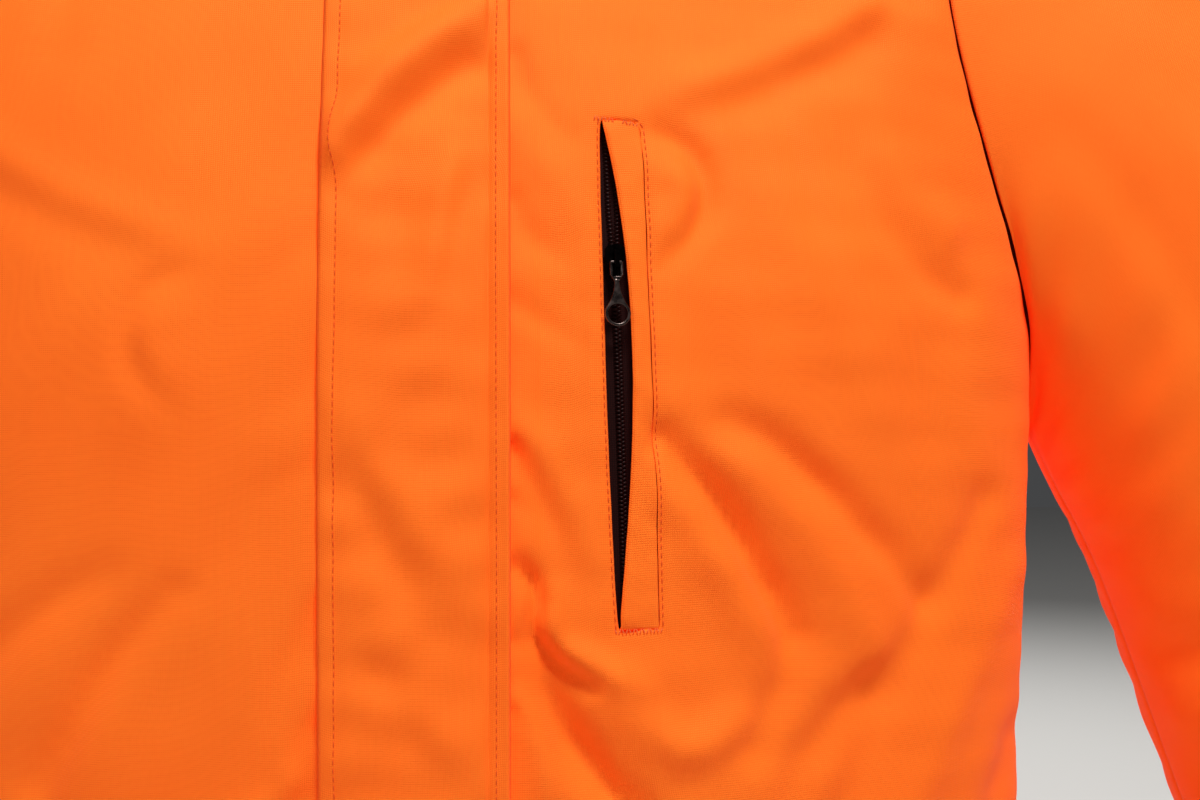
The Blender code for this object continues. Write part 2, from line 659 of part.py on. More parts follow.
def front_slider(finish, collection, helpers):
    """The front zip's slider, closed at the collar, with its tab flat under the flap."""
    strip = centre_strip([-0.001, 0.0, 0.001])
    row = len(strip) - 1 - round((1 - FRONT_SLIDER_HEIGHT) * COLLAR_ROWS)
    frame = frame_of(strip[row, 1], normals(strip)[row, 1])
    (width, length), (tab_width, tab_length) = FRONT_SLIDER_SIZE, FRONT_TAB_SIZE
    sizes = {"finish": finish, "low": FRONT_SLIDER_UNDER}
    body = slab(
        "front_zip_slider",
        box_outline(width, -length / 2, length / 2),
        high=FRONT_SLIDER_TOP,
        collection=collection,
        **sizes,
    )
    tab = slab(
        "front_tab",
        box_outline(tab_width, -tab_length, 0),
        high=FRONT_TAB_TOP,
        collection=helpers,
        **sizes,
    )
    join(body, tab)
    body.matrix_world = tab.matrix_world = frame


def slider_frame():
    """The frame on the left front at the pull's pivot."""
    x, z = SLIDER_PLACE
    grid, out = pocket_grid(np.array([[x - float(pocket_line(z)[0])]]), np.array([z]))
    return frame_of(grid[0, 0], out[0, 0])


def main():
    for old in list(bpy.data.objects):
        bpy.data.objects.remove(old)
    jacket = bpy.data.collections.new("hi_vis_work_jacket")
    helpers = bpy.data.collections.new("helpers")
    for group in (jacket, helpers):
        bpy.context.scene.collection.children.link(group)
    helpers.hide_render = True

    oxford = material("orange coated oxford cloth", ORANGE, 0.6)
    nylon = material("black nylon zip", BLACK, 0.5)
    zinc = material("gunmetal plated zinc", GUNMETAL, 0.3, 1.0)

    for piece in (front_left, front_right, back, sleeves, collar, storm_flap, pocket_welt):
        piece(oxford, jacket)
    front_zip(nylon, jacket)
    pocket_zip(nylon, jacket)
    frame = slider_frame()
    pocket_slider(frame, zinc, jacket, helpers)
    pull_tab(frame, zinc, jacket)
    front_slider(zinc, jacket, helpers)


main()
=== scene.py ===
"""Looks of a hi-vis work jacket, zipped up and filled out as worn.

Every cloth piece is a grid on the same smooth form as its solid, moved out along its normals
by a sum of soft creases, grooves and rolled edges, and given its wall.
Lengths are in metres, and the tables of creases are in millimetres.
"""

import json
from collections import namedtuple

import bmesh
import bpy
import numpy as np
from mathutils import Matrix, Vector

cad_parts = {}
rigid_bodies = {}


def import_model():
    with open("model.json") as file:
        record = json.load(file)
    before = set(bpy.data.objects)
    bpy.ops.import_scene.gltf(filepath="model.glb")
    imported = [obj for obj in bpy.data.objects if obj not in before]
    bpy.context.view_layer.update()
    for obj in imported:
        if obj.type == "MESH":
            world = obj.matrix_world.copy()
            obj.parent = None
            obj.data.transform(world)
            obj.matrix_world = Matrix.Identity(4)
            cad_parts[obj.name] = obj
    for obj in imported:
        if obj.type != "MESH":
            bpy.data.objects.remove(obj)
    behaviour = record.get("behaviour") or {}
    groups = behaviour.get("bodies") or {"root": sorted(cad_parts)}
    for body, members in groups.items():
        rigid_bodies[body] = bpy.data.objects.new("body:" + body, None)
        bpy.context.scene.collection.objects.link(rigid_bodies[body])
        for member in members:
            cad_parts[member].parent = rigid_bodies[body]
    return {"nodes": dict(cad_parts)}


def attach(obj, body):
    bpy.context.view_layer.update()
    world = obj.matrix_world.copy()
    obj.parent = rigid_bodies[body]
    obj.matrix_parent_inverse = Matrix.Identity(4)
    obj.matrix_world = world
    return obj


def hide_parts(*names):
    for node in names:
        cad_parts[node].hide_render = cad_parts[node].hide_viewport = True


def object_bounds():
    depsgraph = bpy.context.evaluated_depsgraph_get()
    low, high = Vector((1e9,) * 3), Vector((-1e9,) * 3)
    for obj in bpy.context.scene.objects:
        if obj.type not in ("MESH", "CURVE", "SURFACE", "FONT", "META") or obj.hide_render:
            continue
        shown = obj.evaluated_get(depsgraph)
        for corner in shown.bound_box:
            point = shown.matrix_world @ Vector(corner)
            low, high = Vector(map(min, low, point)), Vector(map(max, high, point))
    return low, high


for startup in list(bpy.data.objects):
    bpy.data.objects.remove(startup)
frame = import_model()
CAD_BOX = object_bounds()
MM = 0.001

bl_info = {
    "name": "Hi-vis work jacket",
    "version": (1, 0, 0),
    "blender": (4, 5, 0),
    "location": "View3D > Sidebar > Jacket",
    "description": "Builds the cloth, stitching, zips and studio of a hi-vis work jacket",
    "category": "Object",
}

# ------------------------------------------------------------------ torso, as the solids
Level = namedtuple("Level", "centre_z side_z half_width depth side_y")
TORSO = (
    Level(-0.770, -0.770, 0.250, -0.128, 0.000),  # front hem
    Level(-0.610, -0.610, 0.248, -0.133, 0.000),
    Level(-0.450, -0.450, 0.251, -0.138, 0.000),
    Level(-0.300, -0.300, 0.256, -0.141, 0.000),  # underarm
    Level(-0.215, -0.222, 0.255, -0.134, 0.002),
    Level(-0.140, -0.155, 0.254, -0.114, 0.004),
    Level(-0.078, -0.100, 0.254, -0.085, 0.007),  # neck
    Level(-0.022, -0.066, 0.254, -0.048, 0.010),
    Level(0.016, -0.056, 0.254, 0.000, 0.012),  # shoulder seam
    Level(0.015, -0.066, 0.254, 0.040, 0.010),
    Level(-0.008, -0.100, 0.254, 0.076, 0.007),
    Level(-0.085, -0.155, 0.254, 0.110, 0.004),
    Level(-0.190, -0.222, 0.255, 0.128, 0.002),
    Level(-0.300, -0.300, 0.256, 0.134, 0.000),
    Level(-0.450, -0.450, 0.251, 0.128, 0.000),
    Level(-0.610, -0.610, 0.248, 0.124, 0.000),
    Level(-0.770, -0.770, 0.250, 0.122, 0.000),  # back hem
)
UNDERARM, NECK, SHOULDER = 3, 6, 8
BACK_HEM = len(TORSO) - 1
SHOULDER_DROP = 1.5
NECK_HALF_WIDTH = 0.088
ARMHOLE_CUT = {"front": 0.37, "back": 0.32}
ARMHOLE_ROUND, ARMHOLE_TOP = 0.7, 0.20
Drape = namedtuple("Drape", "panel place width depth")
DRAPES = (
    Drape("front", 0.34, 0.070, 0.0060),
    Drape("front", 0.62, 0.080, 0.0075),
    Drape("front", 0.86, 0.060, 0.0050),
    Drape("back", 0.16, 0.070, 0.0055),
    Drape("back", 0.46, 0.080, 0.0075),
    Drape("back", 0.78, 0.070, 0.0060),
)
DRAPE_TOP, DRAPE_FADE = 2.6, 1.5
Ring = namedtuple("Ring", "outer_x outer_z inner_x inner_z half_depth middle_y")
SLEEVE = (
    Ring(0.242, -0.054, 0.256, -0.300, 0.056, 0.004),
    Ring(0.296, -0.076, 0.266, -0.316, 0.064, 0.004),
    Ring(0.345, -0.122, 0.277, -0.336, 0.069, 0.003),
    Ring(0.386, -0.205, 0.292, -0.368, 0.070, 0.000),
    Ring(0.424, -0.320, 0.312, -0.425, 0.066, -0.005),
    Ring(0.450, -0.420, 0.336, -0.495, 0.062, -0.012),
    Ring(0.476, -0.540, 0.368, -0.590, 0.056, -0.026),
    Ring(0.500, -0.665, 0.404, -0.700, 0.047, -0.044),
)
ARMHOLE_FADE = 2.0
COLLAR_FRONT, COLLAR_SIDE, COLLAR_LEAN = 0.078, 0.056, 0.05
FLAP_LEFT, FLAP_RIGHT, FLAP_LIFT, FLAP_ARCH = -0.035, 0.0311, 0.0005, 0.0028
FRONT_GAP, FRONT_TAPE_WIDTH, FRONT_TAPE_DEPTH = 0.008, 0.032, 0.0038
POCKET_TOP, POCKET_FOOT = (0.0637, -0.190), (0.0693, -0.3695)
LIP_BOW, GAPE, GAPE_POWERS = 0.0018, 0.0074, (0.95, 1.2)
WELT_SEAM, WELT_PROUD = 0.0145, 0.0004
POCKET_TAPE, POCKET_TAPE_DEPTH, POCKET_TAPE_RUN = (-0.0095, 0.0135), 0.0042, 0.008
COIL_PLACE, COIL_WIDTH = 0.0034, 0.0022
COIL_HALF, COIL_OPEN = 0.0006, 0.0010  # each half off the coil's middle, closed and more if open
COIL_SLANT, COIL_TURN = 0.18, (0.00046, 0.0006)  # a turn's lean, and its radius and arch
SLIDER_PLACE = (0.0680, -0.2414)
PULL_WALL, PULL_LIFT, PULL_EYE, PULL_BAR = 0.0012, 0.00115, (0.0028, 0.0056), 0.0012
PULL_TOP_WIDTH, PULL_NECK, PULL_REACH = 0.0048, 0.0018, 0.0182
PULL_RADIUS, PULL_HOLE, PULL_RING_START = 0.0046, 0.0035, 40

# ------------------------------------------------------------------ visual detail
CLOTH_WALL, COLLAR_WALL, FLAP_WALL, WELT_WALL, TAPE_WALL = 0.0014, 0.0020, 0.0016, 0.0016, 0.0009
SEAM = 0.0004  # gap between two panels, at the bottom of their seam's groove
WELT_CORNER = 0.0035
SLOPE_STEP = 0.0015  # of the short steps that a normal is read from
TAPE_RIB = 0.0008
POCKET_ROW = 0.0011  # from the lip and from the welt's seam to their rows of stitches
POCKET_ROW_END = 0.001  # by which the lip's row runs past the slit
EDGE_ROW = 0.006  # from an edge of the collar, a shoulder or a side to its row
FLAP_ROWS = (0.0070, -0.0076)  # from the free edge, and back from the sewn one
STITCH_SHARE, STITCH_ARCH = 0.78, 0.9  # of the pitch, and of the thread's radius
FLAP_FOOT_X = 0.031  # where the left front comes out from under the flap
POCKET_MIDDLE, POCKET_MARGIN = 0.0725, 0.006
POCKET_FOOT_SEAM = (0.0675, 0.0845)  # x from and to
POCKET_END = 0.0009  # from the slit's ends to the seam and the bartacks across them

# An edge that turns in: over what distance, and how far it drops.
Roll = namedtuple("Roll", "radius drop")
PANEL_ROLL, COLLAR_ROLL = Roll(0.003, 0.0011), Roll(0.0022, 0.0009)
LIP_ROLL = Roll(0.0014, 0.0011)
SEWN_ROLL, FREE_ROLL = Roll(0.0011, 0.0022), Roll(0.0012, 0.0008)
WELT_FOLD_ROLL, WELT_END_ROLL = Roll(0.0018, 0.0014), Roll(0.001, 0.0003)
# A ridge (+) or dip (-) along an edge: its distance from it, height and width.
Relief = namedtuple("Relief", "place height width")
FLAP_RAMP = Relief(0.0077, 0.0018, 0.0052)
SEWN_RELIEFS = (Relief(0.0077, -0.0007, 0.0011), Relief(0.0014, 0.0006, 0.0009))
FREE_RELIEFS = (Relief(0.0070, -0.0004, 0.0008),)
FLAP_FINE = 0.022  # x from which the flap's columns are fine
SEWN_CALM, FREE_CALM = (0.009, 0.12), (0.004, 0.4)  # creases fade over this, down to this share
COLLAR_RELIEF = Relief(0.006, -0.00025, 0.0009)
SLEEVE_SEAM_RELIEF = Relief(0.0, -0.0006, 0.0015)
WELT_SEAM_RELIEF = Relief(0.0, -0.0007, 0.0006)
WELT_FOLD_RISE, WELT_FOLD_POWER = 0.0012, 1.5
WELT_FLAT_END, WELT_CHEST_END = 0.006, 0.02  # the fold flattens, and takes the chest's creases
# The bartacks across the pocket's ends: x from and to, count, z, and its fall across.
Bartack = namedtuple("Bartack", "start end count z fall")
BARTACKS = (
    Bartack(0.0612, 0.0765, 13, POCKET_TOP[1] + POCKET_END, 0.13),
    Bartack(0.0680, 0.0842, 14, POCKET_FOOT[1] - POCKET_END, 0.0),
)
BARTACK_SIZES, BARTACK_LIFT, BARTACK_LEAN = (0.0018, 0.00021, 0.00025), 0.0004, 0.45
# Unevenness of each piece: its depth and size, and the seed of its draws.
RIPPLES = {
    "left front": (0.0005, 0.026, 3),
    "right front": (0.0006, 0.034, 4),
    "back": (0.0006, 0.036, 5),
    "left sleeve": (0.0007, 0.036, 7),
    "right sleeve": (0.0007, 0.036, 5),
    "collar": (0.0004, 0.03, 8),
    "flap": (0.0008, 0.032, 9),
    "welt": (0.00014, 0.013, 12),
}

# ------------------------------------------------------------------ creases
# A crease falls off from its path as a bell curve: depth (+ ridge, - trough), width, and a
# path of (x, z, share of the depth), all in millimetres.
Crease = namedtuple("Crease", "depth width path")
FLAP_CREASES = (
    Crease(1.6, 8, ((-30, -202, 1), (-8, -175, 1), (22, -152, 1))),
    Crease(-1.0, 7, ((-26, -217, 0.6), (-9, -195, 1), (17, -172, 0.8))),
    Crease(0.8, 6, ((4, -252, 0.3), (9, -222, 1), (14, -198, 0.5))),
    Crease(-0.5, 8, ((-8, -209, 0.4), (-9, -227, 1), (-7, -248, 0.2))),
    Crease(-0.6, 6, ((16, -202, 0.5), (13, -230, 1), (7, -258, 0.2))),
    Crease(-0.6, 8, ((-22, -313, 0.5), (-12, -337, 1), (4, -367, 0.4))),
    Crease(0.5, 9, ((-24, -300, 0.5), (-7, -324, 1), (17, -355, 0.5))),
    Crease(0.5, 8, ((-14, -392, 0.5), (7, -405, 1), (22, -417, 0.5))),
    Crease(-0.5, 8, ((-24, -372, 0.5), (-10, -389, 1), (3, -413, 0.5))),
    Crease(-0.9, 9, ((-28, -470, 0.5), (-8, -488, 1), (20, -520, 0.6))),
    Crease(0.9, 9, ((-24, -540, 0.5), (0, -560, 1), (24, -566, 0.4))),
    Crease(-1.0, 8, ((24, -610, 0.7), (4, -628, 1), (-26, -668, 0.5))),
    Crease(0.8, 10, ((-20, -690, 0.5), (4, -712, 1), (24, -744, 0.7))),
    Crease(-0.9, 7, ((-24, -120, 0.6), (0, -104, 1), (22, -112, 0.6))),
    Crease(0.7, 6, ((-22, -62, 0.6), (2, -52, 1), (24, -60, 0.6))),
)
CHEST_CREASES = (
    # between the storm flap and the pocket
    Crease(-0.8, 5, ((33, -166, 1), (38, -181, 0.8), (51, -196, 0.2))),
    Crease(-0.6, 5, ((32, -220, 1), (40, -234, 0.8), (53, -243, 0.2))),
    Crease(0.5, 7, ((33, -194, 0.8), (49, -214, 1), (60, -232, 0.3))),
    Crease(-0.5, 5, ((32, -255, 0.8), (43, -263, 1), (59, -272, 0.2))),
    Crease(-0.8, 5, ((32, -308, 1), (43, -326, 0.9), (52, -347, 0.3))),
    Crease(0.6, 6, ((32, -294, 0.6), (48, -317, 1), (59, -345, 0.5))),
    Crease(
        -2.0,
        3.2,
        (
            (34.4, -344.6, 0.3),
            (40.7, -358.6, 1),
            (39.3, -368.9, 0.9),
            (46.9, -380.3, 0.9),
            (59.5, -390.5, 0.3),
        ),
    ),
    Crease(1.3, 5, ((44, -357, 0.5), (46, -373, 1), (59, -381, 0.9), (77, -391, 0.4))),
    Crease(-2.6, 7, ((42, -376, 0.4), (48.5, -400, 1), (66, -426, 1), (80, -440, 0.6))),
    Crease(-0.25, 1.6, ((56.5, -254.6, 0.6), (56.3, -285.9, 1), (56, -317.2, 0.5))),
    Crease(0.8, 5, ((34, -393, 0.6), (41, -407, 1), (44, -427, 0.6))),
    Crease(-0.6, 2.6, ((31.4, -303.8, 1), (37.9, -310.8, 0.2))),
    Crease(-0.6, 2.6, ((31.3, -323.1, 1), (37.9, -330.1, 0.2))),
    Crease(-0.6, 2.6, ((31.3, -346.6, 1), (37.9, -353.6, 0.2))),
    Crease(-0.6, 2.6, ((31.3, -372.2, 1), (37.9, -379.3, 0.2))),
    Crease(-0.6, 2.6, ((31.3, -397.3, 1), (37.9, -404.5, 0.2))),
    # past the pocket
    Crease(
        -1.2,
        5,
        (
            (80.6, -192, 0.3),
            (96, -198.5, 1),
            (102.2, -214.2, 1),
            (97.7, -228.9, 0.9),
            (85.8, -241.8, 0.3),
        ),
    ),
    Crease(0.8, 6, ((83, -206, 0.4), (93, -214, 1), (89, -226, 0.4))),
    Crease(1.0, 8, ((78, -183, 0.4), (100, -175, 1), (136, -159, 1), (171, -136, 1))),
    Crease(-0.8, 9, ((102, -185, 0.5), (136, -171, 1), (170, -152, 1))),
    Crease(
        -2.2, 6, ((85.4, -302.8, 0.6), (105.5, -325.7, 1), (121.3, -351.2, 1), (136.1, -374.8, 0.4))
    ),
    Crease(1.2, 8, ((82, -314, 0.4), (98, -337, 1), (113, -361, 1), (124, -385, 0.4))),
    Crease(-1.8, 7, ((111, -297, 0.4), (136, -312, 1), (164, -338, 1), (190, -366, 0.5))),
    Crease(1.2, 9, ((98, -304, 0.2), (124, -322, 0.9), (148, -352, 1), (165, -381, 0.8))),
    Crease(1.5, 8, ((68, -391, 0.5), (91, -413, 1), (111, -405, 0.5))),
    Crease(-1.5, 9, ((128, -362, 0.3), (133, -384, 1), (121, -414, 0.6))),
    Crease(-1.5, 10, ((164, -397, 1), (141, -421, 1), (136, -439, 0.6))),
    Crease(0.6, 14, ((118, -213, 0.2), (144, -240, 1), (164, -266, 0.8))),
)
# Folds of both fronts that lie outside the chest.
BODY_CREASES = (
    Crease(-2.2, 10, ((60, -470, 0.4), (84, -505, 1), (98, -560, 1), (104, -640, 0.3))),
    Crease(1.8, 12, ((90, -455, 0.4), (112, -500, 1), (128, -560, 1), (136, -640, 0.4))),
    Crease(-1.6, 9, ((220, -330, 0.8), (182, -385, 1), (150, -450, 0.9), (128, -500, 0.2))),
    Crease(1.4, 11, ((236, -360, 0.8), (198, -420, 1), (168, -480, 0.8), (150, -530, 0.2))),
    Crease(-1.8, 10, ((240, -430, 0.9), (212, -490, 1), (196, -560, 0.7), (190, -640, 0.2))),
    Crease(-1.3, 8, ((50, -540, 0.3), (60, -600, 1), (58, -680, 0.8), (52, -750, 0.3))),
    Crease(1.0, 10, ((74, -600, 0.3), (80, -680, 1), (76, -760, 0.6))),
    Crease(-1.5, 8, ((206, -250, 1), (180, -232, 0.9), (160, -200, 0.4))),
    Crease(1.2, 9, ((200, -225, 1), (178, -205, 0.8), (168, -180, 0.3))),
    Crease(-1.4, 8, ((192, -128, 0.9), (170, -120, 1), (140, -92, 0.4))),
    Crease(-1.0, 9, ((100, -60, 0.3), (118, -90, 1), (124, -130, 0.6))),
    Crease(-1.2, 9, ((150, -680, 0.4), (166, -710, 1), (178, -760, 0.7))),
)
# The right front's chest creases are the left one's kinds, well lower and shallower.
RIGHT_SHIFT, RIGHT_SHARE = -52, 0.45
# By which the tables' depths are deepened.
CHEST_GAIN, FLAP_GAIN, BODY_GAIN, BACK_GAIN = 3.1, 3.8, 1.7, 1.8
BACK_CREASES = (
    Crease(-2.4, 11, ((215, -240, 1), (170, -262, 1), (110, -300, 0.6), (60, -322, 0.2))),
    Crease(1.8, 12, ((205, -205, 0.9), (160, -228, 1), (100, -262, 0.4))),
    Crease(-2.0, 12, ((20, -60, 0.5), (40, -110, 1), (48, -180, 0.8), (44, -240, 0.2))),
    Crease(-2.2, 12, ((236, -380, 0.9), (190, -420, 1), (140, -440, 0.8), (80, -446, 0.3))),
    Crease(1.8, 13, ((230, -420, 0.9), (180, -456, 1), (120, -476, 0.6))),
    Crease(-2.0, 12, ((60, -500, 0.3), (78, -560, 1), (86, -640, 1), (88, -740, 0.7))),
    Crease(1.7, 13, ((110, -520, 0.3), (124, -600, 1), (130, -700, 0.9))),
    Crease(-1.8, 11, ((180, -500, 0.4), (190, -580, 1), (188, -680, 0.9), (182, -750, 0.6))),
    Crease(-1.4, 10, ((188, -110, 0.9), (150, -112, 0.9), (110, -128, 0.3))),
    Crease(-1.5, 12, ((6, -420, 0.6), (18, -480, 1), (22, -560, 0.6))),
)
# On a sleeve, across is the way round from the underarm seam over the front, down is the way
# from the shoulder, both in millimetres.
SLEEVE_CREASES = (
    Crease(-3.0, 12, ((30, 250, 0.9), (80, 262, 1), (140, 250, 0.7), (180, 232, 0.2))),
    Crease(2.2, 13, ((26, 285, 0.8), (84, 300, 1), (150, 292, 0.6))),
    Crease(-2.8, 11, ((26, 322, 0.9), (78, 336, 1), (130, 326, 0.6), (170, 306, 0.2))),
    Crease(2.0, 12, ((30, 360, 0.7), (90, 372, 1), (150, 360, 0.4))),
    Crease(-2.2, 11, ((30, 402, 0.8), (74, 408, 1), (120, 396, 0.5))),
    Crease(-2.0, 12, ((230, 150, 0.4), (262, 196, 1), (280, 250, 0.8), (276, 300, 0.3))),
    Crease(-2.0, 12, ((150, 60, 0.6), (128, 110, 1), (116, 170, 0.7), (120, 220, 0.2))),
    Crease(1.8, 13, ((180, 90, 0.5), (164, 150, 1), (160, 210, 0.5))),
    Crease(-2.0, 12, ((200, 380, 0.4), (226, 430, 1), (240, 480, 0.8), (236, 540, 0.4))),
    Crease(-1.8, 10, ((40, 480, 0.7), (96, 500, 1), (150, 486, 0.5))),
    Crease(-2.2, 9, ((30, 560, 0.7), (84, 576, 1), (140, 570, 0.7), (190, 552, 0.3))),
    Crease(-1.8, 9, ((230, 560, 0.6), (262, 590, 1), (290, 596, 0.6))),
    Crease(1.6, 10, ((50, 596, 0.6), (120, 608, 1), (180, 590, 0.6))),
    Crease(-2.4, 12, ((300, 60, 0.8), (330, 110, 1), (346, 170, 0.6))),
)
WELT_CREASES = (
    Crease(-0.35, 3.0, ((74, -262, 0.3), (78, -267, 1), (81, -276, 0.5))),
    Crease(0.3, 3.5, ((75, -282, 0.6), (80, -288, 1))),
    Crease(-0.35, 3.0, ((76, -296, 0.4), (80, -303, 1), (82, -312, 0.5))),
    Crease(-0.3, 3.0, ((77, -326, 0.5), (82, -334, 1))),
    Crease(-0.25, 4.0, ((72, -225, 0.6), (77, -234, 1))),
    Crease(0.3, 5.0, ((70, -205, 0.8), (74, -220, 1), (77, -240, 0.4))),
)

# ------------------------------------------------------------------ studio
Lamp = namedtuple("Lamp", "name place target size power tint")
LAMPS = (
    Lamp("key", (0.45, -1.50, 2.30), (0.05, -0.1, -0.3), 0.9, 93.0, (1.0, 0.98, 0.94)),
    Lamp("fill", (-1.7, -1.6, 0.1), (0.05, 0.0, -0.35), 1.6, 3.0, (1.0, 1.0, 1.0)),
    Lamp("back", (0.8, 1.9, 1.1), (0.0, 0.0, -0.35), 1.6, 40.0, (1.0, 0.99, 0.97)),
)
AIR, AIR_STRENGTH = (0.95, 0.97, 1.0, 1), 0.06
FLOOR_HALF, FLOOR_BELOW = 6.0, 0.03
LENS, SENSOR = 48.1, 36.0  # millimetres
CAMERA_PLACE, CAMERA_TURN = (0.0263, -0.6928, -0.2845), (89.5, 0.0, -3.7)


# ------------------------------------------------------------------ settings
def hex_to_linear(text):
    """A colour as three linear shares, from its sRGB hex value."""
    srgb = np.array([int(text[i : i + 2], 16) for i in (0, 2, 4)]) / 255
    return tuple(np.where(srgb <= 0.04045, srgb / 12.92, ((srgb + 0.055) / 1.055) ** 2.4).tolist())


def length(name, description, default):
    return bpy.props.FloatProperty(
        name=name, description=description, default=default, min=0.0, unit="LENGTH", precision=5
    )


def colour(name, description, default):
    return bpy.props.FloatVectorProperty(
        name=name,
        description=description,
        default=hex_to_linear(default),
        subtype="COLOR",
        min=0,
        max=1,
    )


class JacketSizes(bpy.types.PropertyGroup):
    """Sizes of the cloth's detail."""

    stitch_pitch: length("Stitch pitch", "From one stitch to the next", 0.0030)
    thread_width: length("Thread width", "Of the sewing thread", 0.00045)
    hem_depth: length("Hem depth", "From a hem or cuff to its row of stitches", 0.022)
    # The weave is drawn coarser than real oxford, of 0.4 to 0.5 mm a thread, so that it shows.
    thread_pitch: length("Weave pitch", "From one thread of the oxford cloth to the next", 0.0008)
    tooth_pitch: length("Coil pitch", "From one turn of the zip's coil to the next", 0.00144)


class JacketColours(bpy.types.PropertyGroup):
    """Colours of the jacket and the studio."""

    cloth: colour("Cloth", "Fluorescent oxford cloth", "FF8C28")
    inside: colour("Coating", "Coated inner side of the cloth", "D46A2C")
    # The dye's red below is painted light: the cloth gives it off evenly, in shade and inside the jacket
    # as much as in light.
    painted_glow: colour("Glow", "Red that the dye gives off", "FF2400")
    thread: colour("Thread", "Sewing thread", "E25A20")
    bartack: colour("Bartack thread", "Thread of the bartacks at the pocket's ends", "EE7440")
    # The zip is black. The red in its colour is painted reflection of the orange cloth's light, and it
    # tints the coil too.
    zip: colour("Zip", "Tape and coil", "220706")
    metal: colour("Metal", "Gunmetal plating", "5A4E4B")
    slider: colour("Slider", "Black plating", "120E0E")
    floor: colour("Floor", "Studio floor", "C9C8C6")


# ------------------------------------------------------------------ form
def spline(values, at):
    """A natural cubic spline through values at 0, 1, 2 and so on, read at the places given."""
    values, at = np.asarray(values, float), np.asarray(at, float)
    count = len(values)
    system, right = np.eye(count), np.zeros(count)
    inner = np.arange(1, count - 1)
    system[inner, inner - 1], system[inner, inner], system[inner, inner + 1] = 1, 4, 1
    right[inner] = 6 * (values[inner - 1] - 2 * values[inner] + values[inner + 1])
    bend = np.linalg.solve(system, right)
    start = np.clip(at.astype(int), 0, count - 2)
    after = at - start
    before = 1 - after
    return (
        values[start] * before
        + values[start + 1] * after
        + bend[start] * (before**3 - before) / 6
        + bend[start + 1] * (after**3 - after) / 6
    )


def column(table, name, at):
    return spline([getattr(row, name) for row in table], at)


def drape(share, level):
    """The largest folds: bell-shaped ridges across the panel that fade out above the hip."""
    to_hem = np.minimum(level, BACK_HEM - level)
    fade = np.clip(1 - to_hem / DRAPE_TOP, 0, 1) ** DRAPE_FADE
    on_back = level > SHOULDER
    lift = np.zeros(np.broadcast(share, level).shape)
    for fold in DRAPES:
        here = on_back == (fold.panel == "back")
        lift = lift + here * fold.depth * np.exp(-(((share - fold.place) / fold.width) ** 2))
    return lift * fade


def torso(share, level):
    """The half torso: at each level a quarter of an ellipse, from the centre (0) to the side (1)."""
    share, level = np.broadcast_arrays(np.asarray(share, float), np.asarray(level, float))
    across, along = np.sin(share * np.pi / 2), np.cos(share * np.pi / 2)
    half_width, depth = column(TORSO, "half_width", level), column(TORSO, "depth", level)
    centre_z, side_z = column(TORSO, "centre_z", level), column(TORSO, "side_z", level)
    out_x, out_y = across * np.abs(depth), along * half_width * np.sign(depth)
    lift = drape(share, level) / np.maximum(np.hypot(out_x, out_y), 1e-6)
    x = half_width * across + out_x * lift
    y = column(TORSO, "side_y", level) + depth * along + out_y * lift
    z = centre_z + (side_z - centre_z) * across**SHOULDER_DROP
    return np.stack([x, y, z], axis=-1)


def share_at(x, level):
    """The share of the half panel at which a level passes x: the arcsine of x over its width."""
    return np.arcsin(x / column(TORSO, "half_width", level)) * 2 / np.pi


def neck_edge(level):
    """The neckline: half an ellipse in share and level between the two neck rows."""
    rise = (np.asarray(level, float) - SHOULDER) / (SHOULDER - NECK)
    return share_at(NECK_HALF_WIDTH, SHOULDER) * np.sqrt(np.clip(1 - rise**2, 0, 1))


def armhole_edge(level):
    """The side seam (1) up to the underarm, then the armhole: a power of a sine cut from it."""
    level = np.asarray(level, float)
    up = np.clip(1 - np.abs(level - SHOULDER) / (SHOULDER - UNDERARM), 0, 1)
    cut = np.where(level < SHOULDER, ARMHOLE_CUT["front"], ARMHOLE_CUT["back"])
    cut = np.hypot(cut * np.abs(np.sin(np.pi * up)) ** ARMHOLE_ROUND, ARMHOLE_TOP * up)
    seam = SEAM / 2 / (abs(TORSO[UNDERARM].depth) * np.pi / 2)
    return 1 - np.maximum(cut, seam)


def centre_edge(levels):
    """The edge of a front: half the zip's gap from the centre line, then the neckline."""
    return np.maximum(share_at(FRONT_GAP / 2, levels), neck_edge(levels))


def level_at(x, z):
    """The level of the front that passes z at x, closed in on from the centre line's."""
    levels = np.linspace(0, SHOULDER, 400)
    heights = column(TORSO, "centre_z", levels)
    level = np.interp(z, heights, levels)
    for _ in range(6):
        across = np.abs(x) / column(TORSO, "half_width", level)
        fall = column(TORSO, "centre_z", level) - column(TORSO, "side_z", level)
        level = np.interp(z + fall * across**SHOULDER_DROP, heights, levels)
    return level


def front_at(x, z):
    """The point of the left front over x and z."""
    level = level_at(x, z)
    return torso(share_at(x, level), level)


def normals(grid):
    """Unit normals of a grid: the cross of its slopes across the columns and up the rows."""
    turn = np.cross(np.gradient(grid, axis=1), np.gradient(grid, axis=0))
    return turn / np.maximum(np.linalg.norm(turn, axis=-1, keepdims=True), 1e-12)


def front_normals(x, z):
    """Points of the left front over x and z, with their unit normals from two short steps."""
    x, z = np.broadcast_arrays(np.asarray(x, float), np.asarray(z, float))
    here = front_at(x, z)
    turn = np.cross(front_at(x + SLOPE_STEP, z) - here, front_at(x, z + SLOPE_STEP) - here)
    return here, turn / np.linalg.norm(turn, axis=-1, keepdims=True)


def mirrored(grid):
    return grid * np.array([-1.0, 1.0, 1.0])


def neck_level(x):
    """The level at which the neckline passes x, near the front, from its ellipse."""
    across = share_at(np.abs(x), NECK) / share_at(NECK_HALF_WIDTH, SHOULDER)
    return SHOULDER - (SHOULDER - NECK) * np.sqrt(1 - across**2)


